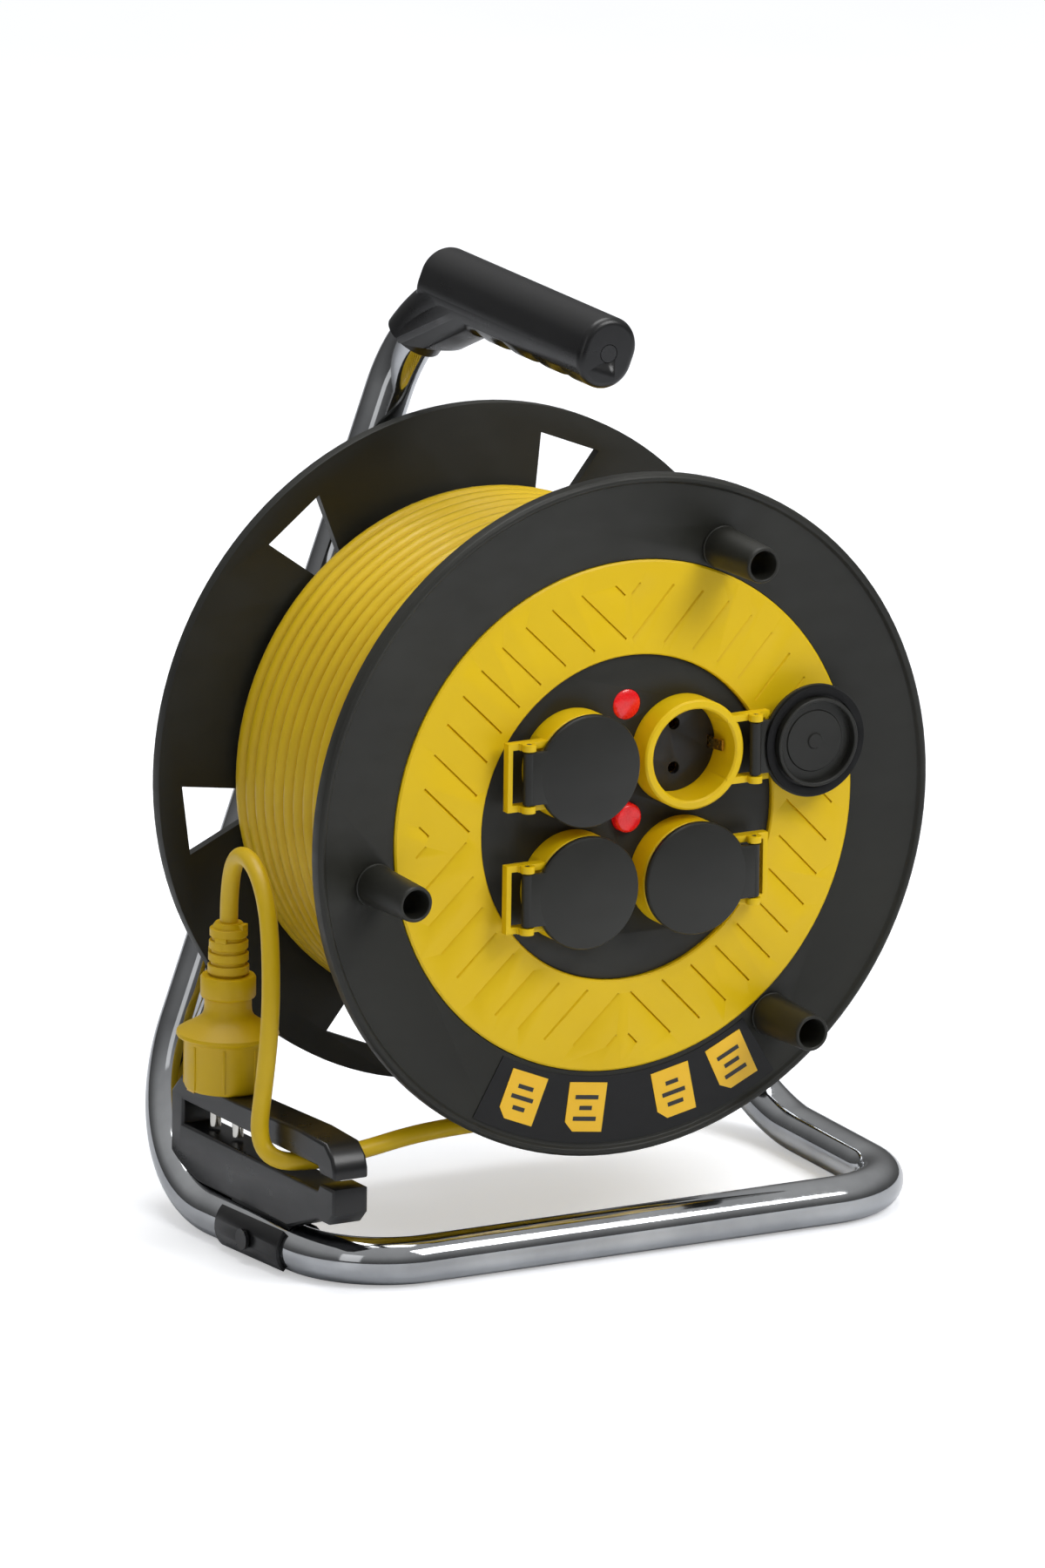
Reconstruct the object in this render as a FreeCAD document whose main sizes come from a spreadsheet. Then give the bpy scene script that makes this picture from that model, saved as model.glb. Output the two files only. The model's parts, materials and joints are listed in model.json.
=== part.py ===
import FreeCAD, Part
import math
import os
import Sketcher

# Extension cord reel: a cable drum on a bent-tube stand, with four covered
# outlets on the drum's front. Millimetres, +Z up, -Y is the outlet side.
# The origin is at the middle of the stand's footprint, on the floor.
# Drum pieces are drawn about the drum's axis, with depth 0 at the front
# flange's front rim and depth growing to the rear.

Vector = FreeCAD.Vector
doc = FreeCAD.newDocument("CordReel")
sheet = doc.addObject("Spreadsheet::Sheet", "Sizes")

SIZES = [
    ("axis_height", 185.0, "drum axis above the floor"),
    ("face_place", -70.0, "front rim of the drum along Y"),
    # drum
    ("flange_radius", 145.0, "both flanges"),
    ("flange_thick", 6.5, "both flanges"),
    ("rim_width", 4.0, "raised rim of a flange"),
    ("rim_step", 2.0, "how far the rim stands over the flange's face"),
    ("winding_room", 130.0, "clear width between the flanges"),
    ("hub_radius", 67.0, "outside of the hub"),
    ("hub_wall", 3.5, "hub tube wall"),
    ("hub_socket", 2.5, "how deep the hub sits in each flange"),
    ("seat_depth", 3.0, "floor of the recess for the trim ring and the socket plate"),
    ("web_place", 60.0, "front of the hub's inner web"),
    ("web_thick", 6.0, "hub web"),
    ("boss_radius", 15.0, "bearing boss on the web and the rear flange"),
    ("boss_long", 12.0, "length of a bearing boss"),
    ("column_place", 59.0, "screw columns in the hub, from the axis"),
    ("column_radius", 5.0, "screw column"),
    ("column_long", 24.0, "screw column"),
    ("screw_radius", 2.0, "flange screws"),
    ("screw_long", 20.0, "flange screws"),
    ("fit_gap", 0.05, "radial gap of a pin or shaft that turns or slides in"),
    ("seat_gap", 0.3, "gap beside a piece that drops in"),
    ("window_count", 6.0, "see-through windows of the rear flange"),
    ("window_outer", 133.0, "outer edge of a window"),
    ("window_inner", 99.0, "inner edge of a window"),
    ("window_wide", 15.0, "half width of a window at its outer edge"),
    ("window_narrow", 5.0, "half width of a window at its inner edge"),
    ("window_turn", 22.0, "angle of the first window from the top"),
    # axle
    ("axle_radius", 8.0, "steel axle"),
    ("axle_front", 54.0, "depth of the axle's front end"),
    ("bush_wall", 3.0, "plain bearing bush"),
    ("tail_radius", 6.0, "threaded rear end of the axle"),
    ("nut_radius", 10.0, "axle nut across its corners"),
    ("nut_thick", 6.0, "axle nut"),
    ("washer_radius", 13.0, "thrust washer"),
    ("clip_thick", 1.6, "retaining ring"),
    ("clip_groove", 1.2, "depth of the retaining ring's groove"),
    ("clip_radius", 11.0, "outside of the retaining ring"),
    # trim ring and socket plate
    ("ring_outer", 108.7, "outside of the trim ring"),
    ("ring_inner", 69.3, "inside of the trim ring"),
    ("ring_edge", 1.0, "depth of the ring's front at its outer edge"),
    ("ring_crown", 2.0, "how far the ring's inner edge stands forward"),
    ("groove_deep", 1.2, "grooves in the trim ring"),
    ("groove_inset", 5.0, "from the ring's inner edge to a groove"),
    ("groove_wide", 3.0, "width of a groove"),
    ("groove_pitch", 13.0, "distance between grooves"),
    ("plate_radius", 69.0, "socket plate"),
    # outlets
    ("outlet_place", 26.0, "outlet centre from the drum's axis, both ways"),
    ("cavity_radius", 19.5, "inside of an outlet"),
    ("outlet_wall", 4.0, "wall of an outlet's collar"),
    ("collar_rise", 12.0, "how far a collar stands out of the plate"),
    ("foot_reach", 1.7, "how far a collar's foot stands past its wall"),
    ("foot_thick", 2.0, "collar foot behind the plate"),
    ("cup_depth", 29.0, "depth of an outlet's back"),
    ("cup_wall", 2.0, "back and ledge of an outlet's cup"),
    ("insert_front", 5.5, "depth of an outlet's floor"),
    ("insert_thick", 3.0, "outlet insert"),
    ("contact_place", 9.5, "contact hole from the outlet's centre"),
    ("contact_hole", 2.6, "radius of a contact hole"),
    ("sleeve_wall", 1.0, "contact sleeve"),
    ("earth_place", 16.2, "inner face of an earth spring's leg"),
    ("earth_thick", 1.0, "earth spring strip"),
    ("earth_wide", 4.5, "width of an earth spring"),
    ("earth_straight", 4.5, "straight part of an earth spring in front of the outlet's floor"),
    ("earth_reach", 9.5, "tip of an earth spring in front of the outlet's floor"),
    # lids and their hinges
    ("hinge_place", 28.0, "hinge axis from the outlet's centre"),
    ("hinge_rise", 13.6, "hinge axis in front of the plate"),
    ("barrel_radius", 2.4, "lid's hinge barrel"),
    ("barrel_half", 11.3, "half length of a lid's hinge barrel"),
    ("ear_inside", 11.8, "inner face of a hinge ear from the outlet's centre"),
    ("ear_thick", 2.8, "hinge ear"),
    ("ear_deep", 5.0, "depth of an ear behind the collar's rim"),
    ("ear_over", 3.2, "how far an ear runs past the hinge axis"),
    ("ear_end", 8.2, "how far the guard round the lid's tab runs past the hinge axis"),
    ("guard_wide", 2.2, "outer bar of the guard"),
    ("guard_sink", 1.2, "guard behind the collar's rim"),
    ("boss_ear", 3.0, "radius of an ear's end about the pin"),
    ("pin_radius", 1.0, "hinge pin"),
    ("lid_radius", 24.0, "outlet lid"),
    ("lid_thick", 2.5, "outlet lid"),
    ("lid_plug_radius", 18.8, "rib that centres a lid in its outlet"),
    ("lid_plug_wall", 1.6, "lid rib"),
    ("lid_plug_long", 4.0, "lid rib"),
    ("seal_thick", 1.2, "rubber seal in a lid"),
    ("seal_inner", 19.7, "inside of a seal"),
    ("seal_outer", 23.2, "outside of a seal"),
    # lamp, reset button and cutout
    ("lamp_place", 48.0, "lamp above the drum's axis"),
    ("lamp_radius", 6.4, "lamp lens"),
    ("lamp_rise", 0.8, "lens crown in front of the plate"),
    ("lamp_foot", 1.2, "how far the lens foot stands past the lens"),
    ("bulb_radius", 3.0, "indicator bulb"),
    ("bulb_long", 13.0, "indicator bulb"),
    ("button_radius", 6.2, "reset button"),
    ("button_rise", 3.5, "how far the button stands out at rest"),
    ("button_travel", 2.5, "button stroke"),
    ("button_foot", 7.4, "radius of the button's foot"),
    ("foot_long", 1.5, "button foot"),
    ("cutout_radius", 10.8, "overload cutout behind the button"),
    ("cutout_long", 28.0, "overload cutout"),
    ("cutout_floor", 3.0, "room behind the button's spring"),
    ("spring_radius", 4.6, "middle of the button spring's wire"),
    ("spring_wire", 0.8, "button spring wire"),
    ("spring_turns", 5.0, "button spring"),
    ("block_wide", 44.0, "terminal block"),
    ("block_tall", 14.0, "terminal block"),
    ("block_deep", 18.0, "terminal block"),
    ("block_place", 34.0, "terminal block below the drum's axis"),
    ("terminal_radius", 3.0, "hole of a terminal"),
    ("anchor_wide", 30.0, "cable anchor"),
    ("anchor_deep", 12.0, "cable anchor"),
    ("anchor_tall", 14.0, "cable anchor"),
    ("anchor_place", 37.0, "cable anchor above the drum's axis"),
    # finger pegs
    ("peg_place", 118.5, "peg from the drum's axis"),
    ("peg_root", 8.8, "peg radius at its root"),
    ("peg_tip", 7.6, "peg radius at its tip"),
    ("peg_bore", 6.0, "peg bore radius"),
    ("peg_long", 33.0, "how far a peg stands out of the drum's face"),
    ("peg_collar", 9.3, "radius of a peg's base collar"),
    ("peg_collar_thick", 1.5, "base collar of a peg"),
    ("peg_stub", 8.2, "radius of a peg in the flange"),
    ("peg_turn", 22.5, "angle of the first peg from the top"),
    # label
    ("label_inner", 111.0, "inside of the label band"),
    ("label_outer", 139.5, "outside of the label band"),
    ("label_from", 148.0, "start of the label band, clockwise from the top"),
    ("label_sweep", 62.0, "angle covered by the label band"),
    ("label_thick", 0.4, "label band"),
    ("chip_place", 124.0, "label chip from the axis"),
    ("chip_wide", 18.0, "label chip"),
    ("chip_tall", 21.0, "label chip"),
    ("chip_thick", 0.3, "label chip"),
    # cable
    ("cable_diameter", 7.6, "rubber mains cable"),
    ("turn_pitch", 8.1, "step from turn to turn of the winding"),
    ("turn_count", 14.0, "turns of the outer layer that turn with the drum"),
    ("lay_radius", 108.0, "middle of the outer layer's cable"),
    ("lay_gap", 0.4, "gap between cable, core and flange"),
    # stand
    ("tube_radius", 10.0, "stand tube"),
    ("tube_wall", 1.5, "stand tube"),
    ("base_half", 135.0, "front corner of a base runner from the drum's axis"),
    ("base_splay", 8.5, "how much further out the runner's rear corner is"),
    ("base_front", 9.0, "front base bar in front of the drum's face"),
    ("leg_depth", 158.0, "plane of the legs behind the drum's face"),
    ("front_bend", 40.0, "bend radius of the front corners"),
    ("rear_bend", 66.0, "bend radius of the rear corners"),
    ("top_bend", 50.0, "bend radius under the grip"),
    ("grip_height", 197.0, "grip tube above the drum's axis"),
    ("grip_shift", -8.0, "grip tube from the drum's axis along X"),
    ("grip_tube_front", 18.0, "depth of the tube's end inside the grip"),
    ("right_leg_top", 24.0, "end of the right leg above the drum's axis"),
    ("plug_deep", 12.0, "length of a tube end plug in the tube"),
    # grip
    ("grip_wide", 26.0, "grip"),
    ("grip_tall", 30.5, "grip"),
    ("grip_roll", 21.0, "how far the grip leans round its length"),
    ("grip_front", 5.0, "depth of the grip's front face"),
    ("grip_back", 14.0, "end of the grip's straight bar in front of the leg's middle"),
    ("grip_sleeve", 12.5, "radius of the grip's sleeve on the leg"),
    ("sleeve_long", 26.0, "how far the grip reaches down the leg from the bar's middle"),
    ("scallop_pitch", 23.6, "distance between the notches under the grip"),
    ("scallop_radius", 8.0, "notch under the grip"),
    ("scallop_deep", 3.2, "depth of a notch"),
    ("scallop_first", 27.0, "depth of the first notch's middle"),
    ("scallop_count", 4.0, "notches under the grip"),
    ("grip_screw_radius", 2.0, "screw in the grip's front face"),
    ("grip_screw_long", 24.0, "screw in the grip's front face"),
    ("grip_screw_sink", 2.5, "head of the grip screw, and how deep it sits"),
    # hub bracket
    ("bracket_thick", 3.5, "steel plate that carries the axle"),
    ("bracket_high", 44.0, "height of the bracket at its middle"),
    ("bracket_end", 30.0, "height of the bracket at its ends"),
    ("bolt_radius", 3.0, "bracket bolts"),
    ("bolt_head", 5.5, "bracket bolt head"),
    ("head_sink", 2.5, "countersunk head of a bracket bolt"),
    ("head_thick", 3.5, "nut of a bracket bolt"),
    # cable guide
    ("guide_wide", 16.5, "cable guide across the runner"),
    ("guide_back", 126.5, "depth of the guide's rear face"),
    ("guide_tip", -12.0, "depth of the guide's front tip"),
    ("arm_thick", 10.5, "upper arm of the guide"),
    ("arm_low_tip", 13.0, "depth of the lower arm at its tip"),
    ("arm_low_top", -142.5, "top of the lower arm from the drum's axis"),
    ("arm_high_rear", -122.0, "top of the upper arm at the plug"),
    ("arm_high_front", -120.5, "top of the upper arm near its tip"),
    ("guide_web", 10.0, "thickness of the guide's rear web"),
    ("guide_slit", 4.0, "slit between the guide's tips"),
    ("tip_long", 14.0, "length of a guide tip"),
    ("clamp_wall", 1.8, "tube clamp"),
    ("clamp_long", 48.0, "tube clamp along the runner"),
    ("clamp_front", 27.0, "depth of the clamp's front edge"),
    ("clamp_screw_radius", 2.5, "clamp screw"),
    ("clamp_head", 1.5, "head of the clamp screw"),
    ("clamp_nut", 2.2, "nut of the clamp screw"),
    ("clamp_hug", 95.0, "angle that each half of the clamp covers"),
    ("keel_wide", 9.0, "foot of the guide on the runner"),
    # plug
    ("plug_x", -135.0, "plug axis from the drum's axis"),
    ("plug_depth", 93.5, "depth of the plug's axis"),
    ("plug_radius", 18.0, "plug body"),
    ("plug_body_long", 21.0, "plug body below the grip ring"),
    ("plug_ring_radius", 21.5, "grip ring of the plug"),
    ("plug_ring_long", 9.0, "grip ring of the plug"),
    ("plug_neck_low", 14.0, "plug neck radius at its foot"),
    ("plug_neck_high", 8.6, "plug neck radius at its top"),
    ("plug_neck_long", 24.0, "plug neck"),
    ("relief_radius", 7.0, "strain relief of the plug at its foot"),
    ("relief_tip", 5.6, "strain relief of the plug at its top"),
    ("relief_long", 22.0, "strain relief of the plug"),
    ("prong_radius", 2.4, "plug prong"),
    ("prong_long", 19.0, "plug prong"),
    ("prong_place", 9.5, "plug prong from the plug's axis"),
    ("prong_in", 10.0, "length of a prong in the plug"),
    ("strip_place", 16.5, "inner face of a plug earth strip from the plug's axis"),
    ("strip_thick", 0.9, "plug earth strip"),
    ("strip_wide", 6.0, "plug earth strip"),
    ("strip_long", 14.0, "plug earth strip"),
]


def fill_sheet():
    """One row for each size: its name, its value and what it is."""
    for row, (alias, value, note) in enumerate(SIZES, 1):
        sheet.set("A%d" % row, alias)
        sheet.set("B%d" % row, "%g" % value)
        sheet.set("C%d" % row, note)
        sheet.setAlias("B%d" % row, alias)
    doc.recompute()


def size(alias):
    return float(sheet.get(alias))


def named(expression):
    """The expression with each size written as a cell of the sheet."""
    words = []
    word = ""
    for mark in expression + " ":
        if mark.isalnum() or mark in "_.":
            word += mark
            continue
        words.append("Sizes." + word if word in NAMES else word)
        words.append(mark)
        word = ""
    return "".join(words).strip()


def worth(expression):
    """The value of an expression of sizes, in plain millimetres or degrees."""
    values = {alias: size(alias) for alias in NAMES}
    keeper = doc.getObject("Scratch")
    if keeper is None:
        keeper = doc.addObject("App::FeaturePython", "Scratch")
        keeper.addProperty("App::PropertyFloat", "Result")
    if expression in values:
        return values[expression]
    return float(keeper.evalExpression(named(expression)))


NAMES = {alias for alias, _, _ in SIZES}
pieces = {}


def bind(thing, **wanted):
    """Ties properties of an object to expressions of the sheet's sizes."""
    for prop, expression in wanted.items():
        thing.setExpression(prop, named(expression))


def place(thing, x="0", depth="0", z="0"):
    """Puts an object at x, depth and z from the drum's axis and front rim."""
    thing.setExpression("Placement.Base.x", named(x))
    thing.setExpression("Placement.Base.y", named("face_place + (%s)" % depth))
    thing.setExpression("Placement.Base.z", named("axis_height + (%s)" % z))
    return thing


ALONG_Y = FreeCAD.Rotation(Vector(1, 0, 0), -90)
ALONG_X = FreeCAD.Rotation(Vector(0, 1, 0), 90)
UPRIGHT = FreeCAD.Rotation()


def rod(name, radius, length, x="0", depth="0", z="0", turn=ALONG_Y):
    """A cylinder from the given place, along +Y unless turned."""
    thing = doc.addObject("Part::Cylinder", name)
    bind(thing, Radius=radius, Height=length)
    thing.Placement.Rotation = turn
    return place(thing, x, depth, z)


def taper(name, radius_one, radius_two, length, x="0", depth="0", z="0", turn=ALONG_Y):
    """A cone from the given place, along +Y unless turned."""
    thing = doc.addObject("Part::Cone", name)
    bind(thing, Radius1=radius_one, Radius2=radius_two, Height=length)
    thing.Placement.Rotation = turn
    return place(thing, x, depth, z)


def block(name, wide, deep, tall, x="0", depth="0", z="0"):
    """A box whose low corner is at the given place."""
    thing = doc.addObject("Part::Box", name)
    bind(thing, Length=wide, Width=deep, Height=tall)
    return place(thing, x, depth, z)


def fuse(name, parts):
    thing = doc.addObject("Part::MultiFuse", name)
    thing.Shapes = parts
    return thing


def cut(name, base, tools):
    thing = doc.addObject("Part::Cut", name)
    thing.Base = base
    thing.Tool = tools[0] if len(tools) == 1 else fuse(name + "_cutters", tools)
    return thing


def group(name, parts):
    """Several solids that share one node."""
    thing = doc.addObject("Part::Compound", name)
    thing.Links = parts
    return thing


def node(name, thing):
    """Registers an object as a sub-part: its label names its file."""
    thing.Label = name
    pieces[name] = thing
    return thing


def origin_of(body, role):
    return [item for item in body.Origin.OriginFeatures if item.Role == role][0]


def outline(body, name, role, corners):
    """A closed sketch whose corners follow two expressions each."""
    sketch = body.newObject("Sketcher::SketchObject", name)
    sketch.AttachmentSupport = [(origin_of(body, role), "")]
    sketch.MapMode = "FlatFace"
    spots = [Vector(worth(u), worth(v), 0) for u, v in corners]
    last = len(spots) - 1
    for index, spot in enumerate(spots):
        following = spots[0] if index == last else spots[index + 1]
        sketch.addGeometry(Part.LineSegment(spot, following), False)
    for index in range(len(spots)):
        following = 0 if index == last else index + 1
        sketch.addConstraint(Sketcher.Constraint("Coincident", index, 2, following, 1))
    for index, (u, v) in enumerate(corners):
        for kind, expression, value in (("DistanceX", u, spots[index].x), ("DistanceY", v, spots[index].y)):
            number = sketch.addConstraint(Sketcher.Constraint(kind, -1, 1, index, 1, value))
            sketch.setExpression("Constraints[%d]" % number, named(expression))
    return sketch


def turned(name, corners, x="0", z="0"):
    """A body turned about the Y axis from an outline of radius and depth."""
    body = doc.addObject("PartDesign::Body", name)
    sketch = outline(body, name + "_outline", "XY_Plane", corners)
    turn = body.newObject("PartDesign::Revolution", name + "_turn")
    turn.Profile = sketch
    turn.ReferenceAxis = (sketch, ["V_Axis"])
    turn.Angle = 360
    sketch.Visibility = False
    return place(body, x, "0", z)


def pocket_round(body, name, corners, count):
    """Cuts an outline of X and Z through a turned body, repeated about its axis."""
    sketch = outline(body, name + "_outline", "XZ_Plane", corners)
    pocket = body.newObject("PartDesign::Pocket", name)
    pocket.Profile = sketch
    pocket.Type = 1
    pocket.Midplane = True
    doc.recompute()
    pattern = body.newObject("PartDesign::PolarPattern", name + "_round")
    pattern.Originals = [pocket]
    pattern.Axis = (origin_of(body, "Y_Axis"), [""])
    pattern.Angle = 360
    pattern.setExpression("Occurrences", named(count))
    body.Tip = pattern
    return pattern


def spot(x, depth, z):
    """A point of the part's frame from x, depth and z about the drum's axis."""
    return Vector(x, size("face_place") + depth, size("axis_height") + z)


# Paths of straight runs joined by tangent arcs


def bent_path(points, radii):
    """A wire along the points, with an arc of the given radius at each inner one."""
    edges = []
    here = points[0]
    for index in range(1, len(points) - 1):
        corner = points[index]
        before = (points[index - 1] - corner).normalize()
        after = (points[index + 1] - corner).normalize()
        half_turn = (math.pi - before.getAngle(after)) / 2
        reach = radii[index - 1] * math.tan(half_turn)
        start = corner + before * reach
        end = corner + after * reach
        inward = (before + after).normalize()
        centre = corner + inward * (radii[index - 1] / math.cos(half_turn))
        middle = centre - inward * radii[index - 1]
        edges.append(Part.LineSegment(here, start).toShape())
        edges.append(Part.Arc(start, middle, end).toShape())
        here = end
    edges.append(Part.LineSegment(here, points[-1]).toShape())
    return Part.Wire(edges)


def cord_radii(points):
    """Each arc is as large as the runs beside it allow."""
    radii = []
    for index in range(1, len(points) - 1):
        before = points[index - 1] - points[index]
        after = points[index + 1] - points[index]
        half_turn = (math.pi - before.getAngle(after)) / 2
        radii.append(0.45 * min(before.Length, after.Length) / math.tan(half_turn))
    return radii


def swept(path, radius):
    """A round tube's solid along a wire."""
    start = path.Edges[0]
    first = start.firstVertex().Point
    along = start.tangentAt(start.FirstParameter)
    circle = Part.Wire(Part.Circle(first, along, radius).toShape())
    return path.makePipeShell([circle], True, False)


def shaped(name, shape):
    """A feature that holds a shape worked out from the sizes."""
    feature = doc.addObject("Part::Feature", name)
    feature.Shape = shape
    return feature


# The stand


def stand_tube():
    """One bent tube: grip, left leg, base loop, right leg."""
    base = size("tube_radius") - size("axis_height")
    half = size("base_half")
    rear_half = half + size("base_splay")
    back = size("leg_depth")
    right_top = size("right_leg_top")
    points = [
        spot(size("grip_shift"), size("grip_tube_front"), size("grip_height")),
        spot(size("grip_shift"), back, size("grip_height")),
        spot(-rear_half, back, base),
        spot(-half, -size("base_front"), base),
        spot(half, -size("base_front"), base),
        spot(rear_half, back, base),
        spot(-leg_x(right_top), back, right_top),
    ]
    bends = [size("top_bend"), size("rear_bend"), size("front_bend"), size("front_bend"), size("rear_bend")]
    path = bent_path(points, bends)
    outside = swept(path, size("tube_radius"))
    inside = swept(path, size("tube_radius") - size("tube_wall"))
    return points, outside, inside


def leg_x(height):
    """How far a leg stands from the drum's axis at a height above that axis, left leg."""
    base = size("tube_radius") - size("axis_height")
    foot = size("base_half") + size("base_splay")
    lean = (size("grip_shift") + foot) / (size("grip_height") - base)
    return -foot + lean * (height - base)


def runner_x(depth):
    """The middle of the left runner at a depth behind the drum's face."""
    back = size("leg_depth") + size("base_front")
    return -size("base_half") - size("base_splay") * (depth + size("base_front")) / back


def build_stand():
    points, outside, inside = stand_tube()
    gap = size("seat_gap")
    left_x = leg_x(0)
    right_x = -leg_x(0)
    back = size("leg_depth")
    reach = size("tube_radius") + 1
    bolt_holes = []
    for x in (left_x, right_x):
        hole = Part.makeCylinder(size("bolt_radius") + size("fit_gap"), 2 * reach, spot(x, back - reach, 0), Vector(0, 1, 0))
        bolt_holes.append(hole)
    clamp_middle = size("clamp_front") + size("clamp_long") / 2
    base = size("tube_radius") - size("axis_height")
    hole = Part.makeCylinder(
        size("clamp_screw_radius") + size("fit_gap"), 2 * reach,
        spot(runner_x(clamp_middle) - reach, clamp_middle, base), Vector(1, 0, 0))
    wall = outside.cut(inside)
    tube = wall.cut(Part.makeCompound(bolt_holes + [hole]))
    print("stand tube length %.1f mm" % (outside.Volume / (math.pi * size("tube_radius") ** 2)))
    node("stand_tube", shaped("stand_tube", tube))

    plugs = []
    for end, toward in ((points[0], points[1]), (points[-1], points[-2])):
        inward = (toward - end).normalize()
        bore = size("tube_radius") - size("tube_wall") - size("fit_gap")
        stub = Part.makeCylinder(bore, size("plug_deep"), end, inward)
        cap = Part.makeCylinder(size("tube_radius"), 2.0, end, -inward)
        plugs.append(stub.fuse(cap))
    pilot = Part.makeCylinder(size("grip_screw_radius"), 40, points[0] - Vector(0, 5, 0), Vector(0, 1, 0))
    plugs[0] = plugs[0].cut(pilot)
    node("tube_end_plugs", shaped("tube_end_plugs", Part.makeCompound(plugs)))

    plate_depth = back - size("tube_radius") - gap - size("bracket_thick")
    outer = right_x + 14
    high = size("bracket_high") / 2
    low = size("bracket_end") / 2
    corners = [(-outer, -low), (-24, -high), (24, -high), (outer, -low), (outer, low), (24, high), (-24, high), (-outer, low)]
    face = Part.Face(Part.makePolygon([spot(x, plate_depth, z) for x, z in corners + corners[:1]]))
    plate = face.extrude(Vector(0, size("bracket_thick"), 0))
    holes = [Part.makeCylinder(size("tail_radius") + size("fit_gap"), 20, spot(0, plate_depth - 5, 0), Vector(0, 1, 0))]
    for x in (left_x, right_x):
        holes.append(Part.makeCylinder(size("bolt_radius") + size("fit_gap"), 20, spot(x, plate_depth - 5, 0), Vector(0, 1, 0)))
        sink = Part.makeCone(size("bolt_head") + size("fit_gap"), size("bolt_radius") + size("fit_gap"), size("head_sink"),
                             spot(x, plate_depth, 0), Vector(0, 1, 0))
        holes.append(sink)
    plate = plate.cut(Part.makeCompound(holes))
    node("axle_bracket", shaped("axle_bracket", plate.makeFillet(6, upright_edges(plate, corners))))

    bolts = []
    for x in (left_x, right_x):
        head = Part.makeCone(size("bolt_head"), size("bolt_radius"), size("head_sink"), spot(x, plate_depth, 0), Vector(0, 1, 0))
        rear = back + size("tube_radius") + gap
        shank = Part.makeCylinder(size("bolt_radius"), rear + 4.5 - plate_depth, spot(x, plate_depth, 0), Vector(0, 1, 0))
        nut = hexagon(size("bolt_head"), spot(x, rear, 0), size("head_thick"))
        bolts.append(head.fuse(shank).fuse(nut))
    node("bracket_bolts", shaped("bracket_bolts", Part.makeCompound(bolts)))


def upright_edges(plate, corners):
    """The edges through a plate at its outer corners."""
    found = []
    for edge in plate.Edges:
        ends = [vertex.Point for vertex in edge.Vertexes]
        if len(ends) != 2 or abs(ends[0].y - ends[1].y) < 1:
            continue
        for x, z in corners:
            if abs(ends[0].x - x) < 0.01 and abs(ends[0].z - size("axis_height") - z) < 0.01:
                found.append(edge)
    return found


def hexagon(radius, corner, thick):
    """A hexagon nut whose bearing face is at a point, along +Y."""
    across = [corner + Vector(math.cos(step * math.pi / 3), 0, math.sin(step * math.pi / 3)) * radius for step in range(7)]
    return Part.Face(Part.makePolygon(across)).extrude(Vector(0, thick, 0))


# The grip


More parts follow.
